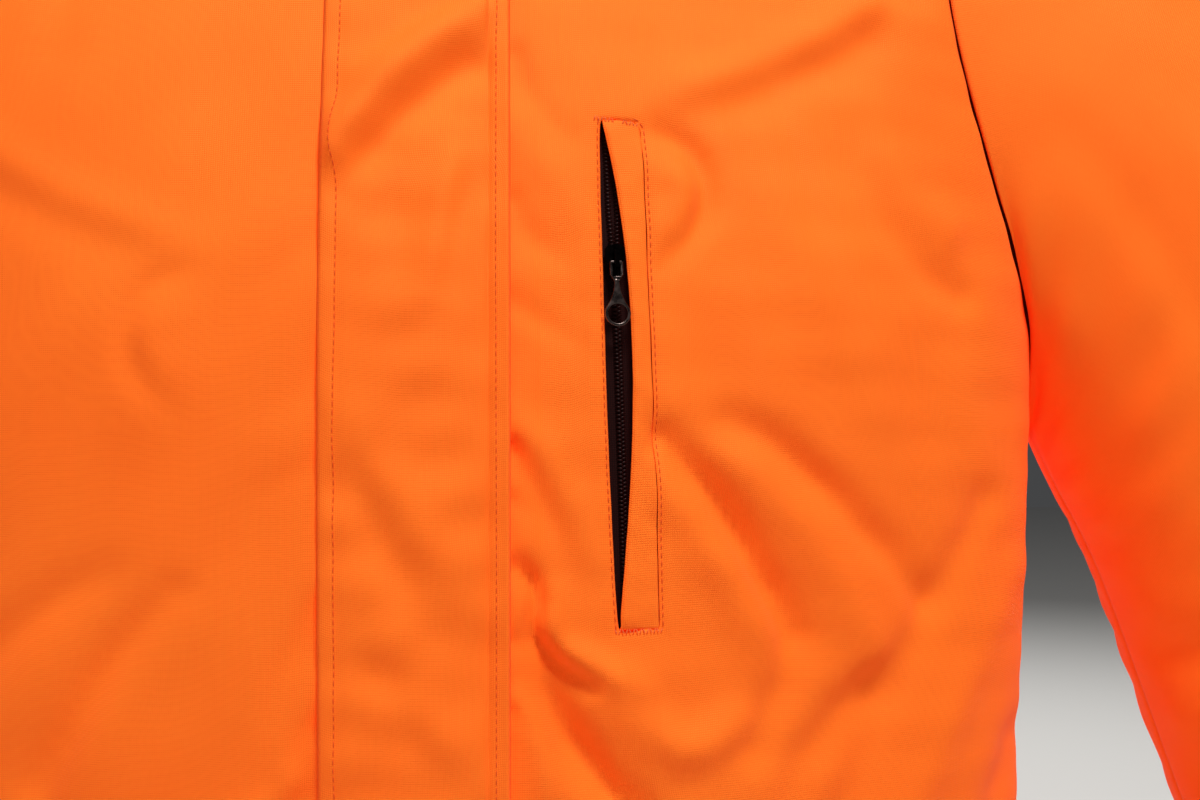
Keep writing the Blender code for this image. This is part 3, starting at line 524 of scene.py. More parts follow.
def collar_point(level, rise):
    """The collar over the neckline at a level: raised by a share of its height and drawn in."""
    foot = torso(neck_edge(level), level)
    narrow = 1 - COLLAR_LEAN * rise
    to_side = np.sin(np.clip((level - NECK) / (SHOULDER - NECK), 0, 1) * np.pi / 2)
    height = COLLAR_FRONT + (COLLAR_SIDE - COLLAR_FRONT) * to_side
    z = foot[..., 2] + height * rise
    return np.stack([foot[..., 0] * narrow, foot[..., 1] * narrow, z], -1)


def centre_strip(x, body_rows, collar_rows):
    """Points down the centre of the front for each x: up the panel, then up the collar."""
    x = np.asarray(x, float)[None, :]
    top = neck_level(x)
    body = top * np.linspace(0, 1, body_rows)[:, None]
    lower = torso(share_at(np.abs(x), body), body)
    rise = np.linspace(0, 1, collar_rows + 1)[1:, None]
    strip = np.concatenate([lower, collar_point(*np.broadcast_arrays(top, rise))])
    strip[..., 0] *= np.where(x < 0, -1, 1)
    return strip


def sleeve_ring(angle, ring):
    """The sleeve: an ellipse at each ring, its inner end at 0 and its front at 90 degrees."""
    outer = np.stack([column(SLEEVE, "outer_x", ring), column(SLEEVE, "outer_z", ring)], -1)
    inner = np.stack([column(SLEEVE, "inner_x", ring), column(SLEEVE, "inner_z", ring)], -1)
    seen = (outer + inner) / 2 - (outer - inner) / 2 * np.cos(angle)[..., None]
    depth = column(SLEEVE, "half_depth", ring) * np.sin(angle)
    y = column(SLEEVE, "middle_y", ring) - depth
    return np.stack([seen[..., 0], y, seen[..., 1]], axis=-1)


# ------------------------------------------------------------------ relief of the cloth
def bell(distance, width):
    return np.exp(-((distance / width) ** 2))


def crease_lift(a, b, creases):
    """The sum of creases at places (a, b): each is its depth, by a share read along its path,
    times a bell curve of the distance to the nearest point of the path."""
    places = np.stack([np.ravel(a), np.ravel(b)], -1) / MM
    lift = np.zeros(len(places))
    for crease in creases:
        knots = np.array(crease.path, float)
        steps = np.linspace(0, len(knots) - 1, 3 * (len(knots) - 1) + 1)
        path = np.stack([spline(knots[:, k], steps) for k in range(3)], -1)
        low = path[:, :2].min(axis=0) - 3 * crease.width
        high = path[:, :2].max(axis=0) + 3 * crease.width
        near = ((places > low) & (places < high)).all(axis=1)
        start, run = path[:-1], np.diff(path, axis=0)
        to = places[near, None, :] - start[:, :2]
        along = (to * run[:, :2]).sum(-1) / (run[:, :2] ** 2).sum(-1)
        along = np.clip(along, 0, 1)
        gap = np.linalg.norm(to - along[..., None] * run[:, :2], axis=-1)
        nearest = gap.argmin(axis=1)
        row = np.arange(len(gap))
        share = (start[:, 2] + along * run[:, 2])[row, nearest]
        lift[near] += crease.depth * share * bell(gap[row, nearest], crease.width)
    return lift.reshape(np.shape(a)) * MM


def ripple(a, b, depth, size, seed):
    """Gentle unevenness: eight sines across the cloth, each a quarter of the depth, in
    directions and lengths drawn round one size."""
    draw = np.random.default_rng(seed)
    turn, stretch, phase = draw.uniform(0, 2 * np.pi, 8), draw.uniform(0.6, 1.9, 8), draw.uniform(0, 6, 8)
    lift = 0.0
    for t, s, p in zip(turn, stretch, phase):
        lift = lift + np.sin((a * np.cos(t) + b * np.sin(t)) * 2 * np.pi / (size * s) + p)
    return lift * depth / 4


def rolled(distance, radius, drop):
    """An edge that turns in: a parabola that falls by drop over the last radius."""
    return -drop * np.clip(1 - distance / radius, 0, 1) ** 2


def along_edge(distance, relief):
    """A ridge or a dip that runs along an edge."""
    return relief.height * bell(distance - relief.place, relief.width)


def pocket_line(z):
    down = np.clip((POCKET_TOP[1] - z) / (POCKET_TOP[1] - POCKET_FOOT[1]), 0, 1)
    return POCKET_TOP[0] + (POCKET_FOOT[0] - POCKET_TOP[0]) * down, down


def lip_bow(down):
    return LIP_BOW * np.sqrt(np.sin(np.pi * np.clip(down, 0, 1)))


def gape(down):
    """The welt's fold off the pocket's line: a power of the way from each end, scaled to GAPE."""
    top, foot = GAPE_POWERS
    down = np.clip(down, 0, 1)
    peak = top / (top + foot)
    return GAPE * down**top * (1 - down) ** foot / (peak**top * (1 - peak) ** foot)


def welt_seam(z):
    """The seam's distance from the pocket's line, drawn in round the upper corner's arc."""
    to_top = np.clip(WELT_CORNER - (POCKET_TOP[1] - z), 0, WELT_CORNER)
    return WELT_SEAM - WELT_CORNER + np.sqrt(WELT_CORNER**2 - to_top**2)


def pocket_frame_path(out):
    """(x, z) down the welt's seam, from the slit's top round the corner to its foot, set off."""
    radius = WELT_CORNER + out
    turn = np.linspace(np.pi / 2, 0, 9)
    corner_x, corner_z = WELT_SEAM - WELT_CORNER, POCKET_TOP[1] - WELT_CORNER
    across = np.concatenate([corner_x + radius * np.cos(turn), [WELT_SEAM + out]])
    z = np.concatenate([corner_z + radius * np.sin(turn), [POCKET_FOOT[1]]])
    return pocket_line(z)[0] + across, z


def groove(x, z, depth, width):
    """A narrow crease along a path of (x, z) in metres, at its full depth throughout."""
    path = np.stack([x / MM, z / MM, np.ones(len(x))], -1)
    return Crease(depth, width, tuple(map(tuple, path)))


def resampled(x, z, step):
    """A path of (x, z) as points a step apart."""
    run = np.concatenate([[0], np.cumsum(np.hypot(np.diff(x), np.diff(z)))])
    at = np.linspace(0, run[-1], max(int(round(run[-1] / step)), 2))
    return np.interp(at, run, x), np.interp(at, run, z)


def pocket_rows():
    """The rows of stitches round the pocket, as paths of (x, z)."""
    lip_z = np.linspace(POCKET_TOP[1] + POCKET_ROW_END, POCKET_FOOT[1] - POCKET_ROW_END, 60)
    line, down = pocket_line(lip_z)
    return [(line - lip_bow(down) - POCKET_ROW, lip_z), pocket_frame_path(POCKET_ROW)]


# Paths round the pocket, with depth and width in millimetres.
SEAM_CREASES = tuple(
    groove(*resampled(*path, 0.006), depth, width)
    for path, depth, width in (
        (pocket_frame_path(0.0), -0.45, 0.5),
        (pocket_frame_path(POCKET_ROW), -0.25, 0.7),
        (pocket_frame_path(0.0032), 0.3, 1.6),
        (pocket_rows()[0], -0.4, 1.0),
        ((np.array(POCKET_FOOT_SEAM), np.array([POCKET_FOOT[1] - POCKET_END] * 2)), -0.3, 1.2),
    )
)


def chest_lift(x, z):
    """What the left front and the pocket's welt share: large creases and the cloth's unevenness."""
    lift = CHEST_GAIN * crease_lift(x, z, CHEST_CREASES)
    lift = lift + BODY_GAIN * crease_lift(x, z, BODY_CREASES)
    return lift + ripple(x, z, *RIPPLES["left front"])


def left_front_lift(x, z):
    """The chest's relief, the seams round the pocket, and the lip that turns in."""
    lift = chest_lift(x, z) + crease_lift(x, z, SEAM_CREASES)
    line, down = pocket_line(z)
    inside = (down > 0) & (down < 1)
    to_lip = line - lip_bow(down) - x
    turned = rolled(np.maximum(to_lip, 0), *LIP_ROLL)
    return lift + inside * (to_lip > -WELT_SEAM / 2) * turned


def right_front_lift(x, z):
    """The left front's kinds of crease, without the pocket, lower and shallower."""
    chest = crease_lift(x, z - RIGHT_SHIFT * MM, CHEST_CREASES) * CHEST_GAIN * RIGHT_SHARE
    body = BODY_GAIN * crease_lift(x * 0.93, z + 0.031, BODY_CREASES)
    return chest + body + ripple(x, z, *RIPPLES["right front"])


def edge_rolls(grid, sides, roll=PANEL_ROLL):
    """Turns in the named edges of a grid: distances run along its rows and columns."""
    u, v = np.moveaxis(cloth_uv(grid), -1, 0)
    distance = {"end": u[:, -1:] - u, "foot": v, "top": v[-1:] - v}
    return sum(rolled(distance[side], *roll) for side in sides)


# ------------------------------------------------------------------ meshes
def quads(rows, columns, flip=False, keep=None):
    row, col = np.meshgrid(np.arange(rows - 1), np.arange(columns - 1), indexing="ij")
    here = row * columns + col
    faces = np.stack([here, here + 1, here + columns + 1, here + columns], axis=-1)
    faces = faces.reshape(-1, 4) if keep is None else faces[keep]
    return faces[:, ::-1] if flip else faces


def cloth_uv(grid):
    """Metres along the cloth: running sums of the steps across each row and up each column."""
    across = np.linalg.norm(np.diff(grid, axis=1), axis=-1)
    up = np.linalg.norm(np.diff(grid, axis=0), axis=-1)
    u = np.concatenate([np.zeros((len(grid), 1)), np.cumsum(across, axis=1)], axis=1)
    v = np.concatenate([np.zeros((1, grid.shape[1])), np.cumsum(up, axis=0)], axis=0)
    return np.stack([u, v], axis=-1)


def mesh_piece(name, points, faces, finish, uv=None, smooth=True):
    mesh = bpy.data.meshes.new(name)
    mesh.from_pydata(points.tolist(), [], faces.tolist() if hasattr(faces, "tolist") else faces)
    if uv is not None:
        layer = mesh.uv_layers.new(name="Weave")
        index = np.empty(len(mesh.loops), np.int32)
        mesh.loops.foreach_get("vertex_index", index)
        layer.data.foreach_set("uv", uv[index].ravel())
    mesh.materials.append(finish)
    if smooth:
        mesh.shade_smooth()
    piece = bpy.data.objects.new(name, mesh)
    bpy.context.scene.collection.objects.link(piece)
    return piece


def merge(piece, distance=1e-5, outwards=False):
    """Makes coincident points one, and turns the faces out if they may be mixed."""
    made = bmesh.new()
    made.from_mesh(piece.data)
    bmesh.ops.remove_doubles(made, verts=made.verts, dist=distance)
    if outwards:
        bmesh.ops.recalc_face_normals(made, faces=made.faces)
    made.to_mesh(piece.data)
    made.free()


def cloth(name, sheets, wall, finish, inner=None):
    """Sheets of (grid, faces) made one piece with its wall on the inner side, which may have a
    finish of its own."""
    points, faces, uvs, first = [], [], [], 0
    for grid, cells in sheets:
        points.append(grid.reshape(-1, 3))
        uvs.append(cloth_uv(grid).reshape(-1, 2))
        faces.append(cells + first)
        first += len(points[-1])
    piece = mesh_piece(
        name, np.concatenate(points), np.concatenate(faces), finish, np.concatenate(uvs)
    )
    merge(piece)
    solid = piece.modifiers.new("Wall", "SOLIDIFY")
    solid.thickness, solid.offset = wall, -1
    if inner:
        piece.data.materials.append(inner)
        solid.material_offset = 1
    return piece


def worn(piece, node=None):
    """Makes a piece ride on the jacket, and hides the node that it stands for, if one is given."""
    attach(piece, "jacket")
    if node:
        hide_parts(node)
    return piece


def hung(piece, node):
    """Makes a cloth piece ride on the jacket, and hides the node that it stands for."""
    worn(piece, node)
    return piece


def capsules(name, centres, along, out, sizes, finish, sides=6, rings=5):
    """Short rounded rods, one at each centre: an ellipsoid drawn out along its own direction
    and arched off the cloth, so that both ends dip in. sizes are length, radius and arch."""
    size, radius, arch = sizes
    along = along / np.linalg.norm(along, axis=-1, keepdims=True)
    out = out / np.linalg.norm(out, axis=-1, keepdims=True)
    side = np.cross(out, along)
    at = np.linspace(-1, 1, rings)
    thick = radius * np.sqrt(1 - (0.93 * at) ** 2)
    turn = np.linspace(0, 2 * np.pi, sides, endpoint=False)
    spine = (
        centres[:, None]
        + along[:, None] * (at * size / 2)[:, None]
        + out[:, None] * (arch * (1 - at**2))[:, None]
    )
    ring = side[:, None, None] * np.cos(turn)[:, None] + out[:, None, None] * np.sin(turn)[:, None]
    points = (spine[:, :, None] + ring * thick[:, None, None]).reshape(-1, 3)
    base = (np.arange(len(centres)) * rings * sides)[:, None, None]
    row, col = np.meshgrid(np.arange(rings - 1), np.arange(sides), indexing="ij")
    here, right = row * sides + col, row * sides + (col + 1) % sides
    tube = np.stack([here, right, right + sides, here + sides], axis=-1)
    faces = (tube.reshape(1, -1, 4) + base).reshape(-1, 4).tolist()
    caps = np.stack([np.arange(sides)[::-1], np.arange(sides) + (rings - 1) * sides])
    faces += (caps[None] + base).reshape(-1, sides).tolist()
    return mesh_piece(name, points, faces, finish)


def stitches_along(points, out, pitch):
    """Centres, directions and normals of stitches a pitch apart along a line of points."""
    run = np.concatenate([[0], np.cumsum(np.linalg.norm(np.diff(points, axis=0), axis=-1))])
    count = max(int(run[-1] / pitch), 1)
    at = (np.arange(count) + 0.5) * run[-1] / count
    slope = np.gradient(points, axis=0)
    read = [np.stack([np.interp(at, run, v[:, k]) for k in range(3)], -1) for v in (points, slope, out)]
    return tuple(read)


def on_left_front(x, z, out=0.0):
    """Points on the creased left front over a path of (x, z), with normals of the smooth form."""
    here, turn = front_normals(x, z)
    return here + turn * (left_front_lift(x, z) + out)[..., None], turn


def across_grid(grid, offset):
    """The line of a grid that runs up its rows at a distance from its first column, or from
    its last where the distance is negative, with its normals."""
    run = cloth_uv(grid)[..., 0]
    at = offset + run[:, -1] * (offset < 0)
    column_at = np.clip((run < at[..., None]).sum(axis=1) - 1, 0, grid.shape[1] - 2)
    row = np.arange(len(grid))
    span = run[row, column_at + 1] - run[row, column_at]
    share = ((at - run[row, column_at]) / np.maximum(span, 1e-9))[:, None]
    turn = normals(grid)
    return tuple(
        g[row, column_at] * (1 - share) + g[row, column_at + 1] * share for g in (grid, turn)
    )


def up_grid(grid, offset):
    """The same, along the columns, at a distance from the first row or the last."""
    points, turn = across_grid(np.swapaxes(grid, 0, 1), offset)
    return points, -turn


# ------------------------------------------------------------------ panels
def spaced(knots, counts, crowd=None):
    """Steps through knots, with a count of steps in each span. crowd names the spans whose
    steps crowd towards their end (1) or their start (-1)."""
    parts = []
    for span, count in enumerate(counts):
        t = np.linspace(0, 1, count + 1)[:-1]
        way = (crowd or {}).get(span, 0)
        t = 1 - (1 - t) ** 1.7 if way > 0 else t**1.7 if way < 0 else t
        parts.append(span + t)
    at = np.concatenate([*parts, [len(knots) - 1]])
    return np.stack([np.interp(at, np.arange(len(knots)), row) for row in np.transpose(knots)])


def front_levels():
    """Rows of a front: fine over the chest, and one at each end of the pocket."""
    foot, top = (float(level_at(*np.array(end))) for end in (POCKET_FOOT, POCKET_TOP))
    spans = ((0, 1.95, 78), (1.95, foot, 36), (foot, top, 98), (top, 5.3, 30), (5.3, NECK, 16))
    rows = [np.linspace(a, b, n, endpoint=False) for a, b, n in spans]
    neck = SHOULDER - (SHOULDER - NECK) * np.cos(np.linspace(0, np.pi / 2, 34))
    first = len(rows[0]) + len(rows[1])
    return np.concatenate([*rows, neck]), first, first + len(rows[2])


FRONT_LEVELS, FOOT_ROW, TOP_ROW = front_levels()


def front_grid(shares):
    start, end = centre_edge(FRONT_LEVELS)[:, None], armhole_edge(FRONT_LEVELS)[:, None]
    grid = torso(start + (end - start) * shares, FRONT_LEVELS[:, None])
    grid[-1, :, 1] -= SEAM / 2
    return grid


def left_front_grid():
    """Columns that follow the pocket's lip and the welt's seam, and crowd towards both."""
    levels = np.clip(FRONT_LEVELS, FRONT_LEVELS[FOOT_ROW], FRONT_LEVELS[TOP_ROW])
    start, end = centre_edge(levels), armhole_edge(levels)
    z = torso(share_at(POCKET_MIDDLE, levels), levels)[..., 2]
    line, down = pocket_line(z)
    lip, seam = line - lip_bow(down), line + welt_seam(z)
    inner = [
        (share_at(x, levels) - start) / (end - start)
        for x in (np.full(len(z), FLAP_FOOT_X), lip - POCKET_MARGIN, lip, seam, seam + POCKET_MARGIN)
    ]
    knots = np.stack([0 * z, *inner, 0 * z + 1])
    counts = (7, 13, 7, 3, 7, 82)
    shares = spaced(knots, counts, {2: 1, 4: -1})
    lip_column = sum(counts[:3])
    return front_grid(shares), lip_column, lip_column + counts[3]


def lifted(grid, lift):
    return grid + normals(grid) * lift[..., None]


def make_left_front(finishes):
    grid, lip, seam = left_front_grid()
    lift = left_front_lift(grid[..., 0], grid[..., 2])
    made = lifted(grid, lift + edge_rolls(grid, ("end", "top")))
    keep = np.ones((len(grid) - 1, grid.shape[1] - 1), bool)
    keep[FOOT_ROW:TOP_ROW, lip:seam] = False
    cells = quads(*grid.shape[:2], keep=keep)
    return cloth("left_front", [(made, cells)], CLOTH_WALL, *finishes), made


def make_right_front(finishes):
    grid = front_grid(np.linspace(0, 1, 101)[None, :])
    lift = right_front_lift(grid[..., 0], grid[..., 2]) + edge_rolls(grid, ("end", "top"))
    made = mirrored(lifted(grid, lift))
    cells = quads(*grid.shape[:2], flip=True)
    return cloth("right_front", [(made, cells)], CLOTH_WALL, *finishes), made


def make_back(finishes):
    """Two halves from the shoulder seam to the hem, with creases that differ a little."""
    levels = BACK_HEM - FRONT_LEVELS[::-1]
    levels = np.concatenate([levels[:64], np.linspace(levels[64], BACK_HEM, 180)])
    shares = np.linspace(0, 1, 86)
    start, end = neck_edge(levels)[:, None], armhole_edge(levels)[:, None]
    grid = torso(start + (end - start) * shares, levels[:, None])
    grid[0, :, 1] += SEAM / 2
    x, z = grid[..., 0], grid[..., 2]
    rolls = edge_rolls(grid, ("end", "foot"))
    halves = []
    for side, down, share in ((1, 0.0, BACK_GAIN), (-1, 0.036, BACK_GAIN * 0.75)):
        lift = crease_lift(x, z + down, BACK_CREASES) * share + ripple(x * side, z, *RIPPLES["back"])
        lift *= np.clip(x / 0.02, 0, 1) ** 0.5
        made = lifted(grid, lift + rolls)
        halves.append(made if side > 0 else mirrored(made))
    size = grid.shape[:2]
    sheets = [(halves[0], quads(*size)), (halves[1], quads(*size, flip=True))]
    return cloth("back_panel", sheets, CLOTH_WALL, *finishes), halves


def sleeve_surface(side):
    """A sleeve's grid as on the left, with the underarm seam at both side columns and the
    creases of its own side."""
    half = np.linspace(UNDERARM, SHOULDER, 56)
    levels = np.concatenate([half, BACK_HEM - half[-2::-1]])
    edge = torso(armhole_edge(levels), levels) + np.array([SEAM, 0, 0])
    angle = (levels - UNDERARM) / (SHOULDER - UNDERARM) * np.pi
    rings = (len(SLEEVE) - 1) * np.linspace(0, 1, 180)[:, None] ** 1.08
    grid = sleeve_ring(*np.broadcast_arrays(angle, rings))
    fade = np.clip(1 - rings / ARMHOLE_FADE, 0, 1)[..., None] ** 2
    grid = grid + (edge - grid[0]) * fade
    uv = cloth_uv(grid)
    down = uv[..., 1].mean(axis=1, keepdims=True) + 0 * uv[..., 1]
    round_it = uv[..., 0] + (0.02 if side < 0 else 0)
    lift = crease_lift(round_it, down + (0.011 if side < 0 else 0), SLEEVE_CREASES)
    seam = np.minimum(uv[..., 0], uv[:, -1:, 0] - uv[..., 0])
    uneven = ripple(uv[..., 0], down, *RIPPLES["left sleeve" if side > 0 else "right sleeve"])
    lift = (lift + uneven) * np.clip(seam / 0.02, 0, 1)
    lift = lift + along_edge(seam, SLEEVE_SEAM_RELIEF) + edge_rolls(grid, ("foot",))
    return grid - normals(grid) * lift[..., None]


def make_sleeve(side, finishes):
    made = sleeve_surface(side)
    name = "left_sleeve" if side > 0 else "right_sleeve"
    made = made if side > 0 else mirrored(made)
    cells = quads(*made.shape[:2], flip=side > 0)
    return cloth(name, [(made, cells)], CLOTH_WALL, *finishes), made


def collar_grid():
    first = float(neck_level(FRONT_GAP / 2))
    level = np.linspace(first, BACK_HEM - NECK, 120)
    grid = collar_point(*np.meshgrid(level, np.linspace(0, 1, 34)))
    to_axis = np.array([0, 0, COLLAR_SIDE]) - grid * np.array([1, 1, 0])
    grid = grid + SEAM * 1.5 * to_axis / np.linalg.norm(to_axis, axis=-1, keepdims=True)
    uv = cloth_uv(grid)
    lift = ripple(uv[..., 0], uv[..., 1], *RIPPLES["collar"])
    lift *= np.clip((uv[:, -1:, 0] - uv[..., 0]) / 0.03, 0, 1) ** 2
    for distance in (uv[..., 1], uv[-1:, :, 1] - uv[..., 1]):
        lift = lift + along_edge(distance, COLLAR_RELIEF)
    return lifted(grid, lift + edge_rolls(grid, ("foot", "top"), COLLAR_ROLL))


def make_collar(finish):
    grid = collar_grid()
    size = grid.shape[:2]
    sheets = [(grid, quads(*size)), (mirrored(grid), quads(*size, flip=True))]
    return cloth("stand_collar", sheets, COLLAR_WALL, finish), grid


def flap_grid():
    """The storm flap: lowest at its long edges and arched over the zip. Its sewn edge stands in
    a rolled ridge past a narrow dip, and both rows of stitches draw it down a little."""
    coarse, fine = np.linspace(FLAP_LEFT, FLAP_FINE, 34), np.linspace(FLAP_FINE, FLAP_RIGHT, 26)
    x = np.concatenate([coarse[:-1], fine])
    strip = centre_strip(x, 330, 30)
    across = (x - FLAP_LEFT) / (FLAP_RIGHT - FLAP_LEFT)
    out = FLAP_LIFT + FLAP_WALL + FLAP_ARCH * np.sin(np.pi * across)
    to_sewn, to_free = FLAP_RIGHT - x, x - FLAP_LEFT
    out += FLAP_RAMP.height * np.clip((FLAP_RAMP.place - to_sewn) / FLAP_RAMP.width, 0, 1)
    out += sum(along_edge(to_sewn, relief) for relief in SEWN_RELIEFS)
    out += sum(along_edge(to_free, relief) for relief in FREE_RELIEFS)
    out += rolled(to_sewn, *SEWN_ROLL) + rolled(to_free, *FREE_ROLL)
    x, z = np.broadcast_arrays(x, strip[..., 2])
    lift = FLAP_GAIN * crease_lift(x, z, FLAP_CREASES) + ripple(x, z, *RIPPLES["flap"])
    calm = np.clip(to_sewn / SEWN_CALM[0], SEWN_CALM[1], 1)
    calm = calm * np.clip(to_free / FREE_CALM[0], FREE_CALM[1], 1)
    return strip + normals(strip) * (out + lift * calm)[..., None]


def make_flap(finish):
    grid = flap_grid()
    return cloth("centre_storm_flap", [(grid, quads(*grid.shape[:2]))], FLAP_WALL, finish), grid


def make_welt(finish):
    """A folded strip from its seam to its gaping fold, which turns in as a round edge."""
    z = np.linspace(POCKET_FOOT[1] - SEAM, POCKET_TOP[1] + SEAM, 300)
    line, down = pocket_line(z)
    fold = np.maximum(gape(down), SEAM)[:, None]
    t = np.linspace(0, 1, 31)
    t = 0.5 - 0.5 * np.cos(np.pi * t)
    across = fold + (welt_seam(z)[:, None] - SEAM - fold) * t
    x = line[:, None] + across
    grid, out = front_normals(x, np.broadcast_to(z[:, None], x.shape))
    from_fold, to_seam = across - fold, welt_seam(z)[:, None] - across
    rise = WELT_FOLD_RISE * (1 - t) ** WELT_FOLD_POWER
    lift = WELT_PROUD + rolled(from_fold, *WELT_FOLD_ROLL) + rise
    lift += crease_lift(x, grid[..., 2], WELT_CREASES) + along_edge(to_seam, WELT_SEAM_RELIEF)
    to_end = np.minimum(z[-1] - z, z - z[0])[:, None]
    lift *= 1 + rolled(to_end, WELT_FLAT_END, 1.0)
    near_end = 1 - np.clip(to_end / WELT_CHEST_END, 0, 1)
    lift += chest_lift(x, grid[..., 2]) * np.maximum(t, near_end)
    lift += rolled(to_end, *WELT_END_ROLL) + ripple(x, grid[..., 2], *RIPPLES["welt"])
    made = grid + out * lift[..., None]
    return cloth("chest_pocket_welt", [(made, quads(*made.shape[:2]))], WELT_WALL, finish)


# ------------------------------------------------------------------ zips, sliders and pull
def tape(name, grid, node, finish):
    piece = cloth(name, [(grid, quads(*grid.shape[:2]))], TAPE_WALL, finish)
    return worn(piece, node)


def coil(name, grid, places, width, finish, node):
    """The coil's turns across a zip: pairs of slanted loops, half a pitch apart, that overlap
    at the middle. grid is a line of points with normals and directions across the zip."""
    centres, out, side, along = grid
    lean = np.where(np.arange(len(centres)) % 2 == 0, 1.0, -1.0)[:, None]
    slant = side + along * lean * COIL_SLANT
    piece = capsules(name, centres + out * places, slant, out, (width, *COIL_TURN), finish)
    return worn(piece, node)


def frame_of(point, out):
    """A frame on the cloth: x to the wearer's left, y up along the cloth, z out of it."""
    side = np.cross((0.0, 0.0, 1.0), out)
    side /= np.linalg.norm(side)
    columns = (side, np.cross(out, side), out, point)
    return Matrix([[float(axis[k]) for axis in columns] for k in range(3)] + [(0, 0, 0, 1)])


def arc(centre_y, radius, start, end, steps):
    angle = np.radians(np.linspace(start, end, steps + 1))
    return np.column_stack([radius * np.cos(angle), centre_y + radius * np.sin(angle)])


def pull_outline():
    """The right side from the bar to the ring, a frame, a neck, a flare and the ring, mirrored."""
    half, long = PULL_TOP_WIDTH / 2, PULL_EYE[1] + PULL_BAR
    ring = arc(-PULL_REACH, PULL_RADIUS, PULL_RING_START, -90, 26)
    drop = np.linspace(0, 1, 13)[:-1]
    y = -long + (ring[0, 1] + long) * drop
    flare = np.column_stack([PULL_NECK / 2 + (ring[0, 0] - PULL_NECK / 2) * drop**2, y])
    top = [(0.75 * half, PULL_BAR / 2), (half, 0.0), (half, PULL_BAR - PULL_EYE[1])]
    right = np.concatenate([top, flare, ring])
    return np.concatenate([right, right[-2::-1] * np.array([-1, 1])])


def make_pull(finish):
    """A flat teardrop cut from a curve, with rounded edges, laid on the slider's frame."""
    eye_top, round_edge = -PULL_BAR / 2, 0.00032
    low, high, half = eye_top - PULL_EYE[1] + PULL_BAR, eye_top, PULL_EYE[0] / 2
    eye = np.array([(-half, low), (half, low), (half, high), (-half, high)])
    holes = (eye, arc(-PULL_REACH, PULL_HOLE, 0, 360, 48)[:-1])
    curve = bpy.data.curves.new("teardrop", "CURVE")
    curve.dimensions, curve.fill_mode = "2D", "BOTH"
    curve.extrude, curve.bevel_depth = PULL_WALL / 2 - round_edge, round_edge
    curve.offset, curve.bevel_resolution = -round_edge, 3
    for outline in (pull_outline(), *holes):
        line = curve.splines.new("POLY")
        line.points.add(len(outline) - 1)
        flat = np.column_stack([outline, np.zeros(len(outline)), np.ones(len(outline))])
        line.points.foreach_set("co", flat.ravel())
        line.use_cyclic_u = True
    helper = bpy.data.objects.new("teardrop", curve)
    bpy.context.scene.collection.objects.link(helper)
    graph = bpy.context.evaluated_depsgraph_get()
    mesh = bpy.data.meshes.new_from_object(helper.evaluated_get(graph))
    bpy.data.objects.remove(helper)
    here, out = front_normals(*SLIDER_PLACE)
    mesh.transform(frame_of(here, out) @ Matrix.Translation((0, 0, PULL_LIFT)))
    mesh.materials.clear()
    mesh.materials.append(finish)
    mesh.name = "teardrop_pull"
    piece = bpy.data.objects.new("teardrop_pull", mesh)
    bpy.context.scene.collection.objects.link(piece)
    merge(piece, 2e-6, outwards=True)
    mesh.shade_smooth()
    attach(piece, "pull")
    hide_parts("pocket_zip_pull")
    return piece


# ------------------------------------------------------------------ finishes
def node(tree, kind, links=None, **settings):
    """Adds a node, sets its properties and sockets by name, and links other sockets into it."""
    made = tree.nodes.new(kind)
    for name, value in settings.items():
        if hasattr(made, name):
            setattr(made, name, value)
    for socket, value in (links or {}).items():
        target = made.inputs[socket]
        if isinstance(value, bpy.types.NodeSocket):
            tree.links.new(value, target)
        else:
            target.default_value = value
    return made


def finish_of(name, colour, roughness, metallic=0.0, **sockets):
    """A named material with constants set on its shader, and the tree to add to."""
    made = bpy.data.materials.new(name)
    made.use_nodes = True
    shader = made.node_tree.nodes["Principled BSDF"]
    values = {"Base Color": (*colour, 1), "Roughness": roughness, "Metallic": metallic, **sockets}
    for socket, value in values.items():
        shader.inputs[socket].default_value = value
    return made, made.node_tree, shader


def bumped(tree, shader, height, strength, distance):
    bump = node(tree, "ShaderNodeBump", {"Height": height, "Strength": strength, "Distance": distance})
    tree.links.new(bump.outputs[0], shader.inputs["Normal"])


def object_noise(tree, **sockets):
    """Noise over the piece's own place."""
    place = node(tree, "ShaderNodeTexCoord").outputs["Object"]
    return node(tree, "ShaderNodeTexNoise", {0: place, **sockets}).outputs[0]


def shaded(tree, shader, source, base, shades):
    """The colour between two shades of a base, by a source."""
    tone = node(tree, "ShaderNodeValToRGB", {0: source})
    for stop, shade in zip(tone.color_ramp.elements, shades):
        stop.color = (*np.minimum(np.array(base) * shade, 1), 1)
    tree.links.new(tone.outputs[0], shader.inputs["Base Color"])


def roughened(tree, shader, source, low, high, span=(0.3, 0.7)):
    """Roughness from low to high as a source goes over a span."""
    inputs = {0: source, 1: span[0], 2: span[1], 3: low, 4: high}
    rough = node(tree, "ShaderNodeMapRange", inputs)
    tree.links.new(rough.outputs[0], shader.inputs["Roughness"])


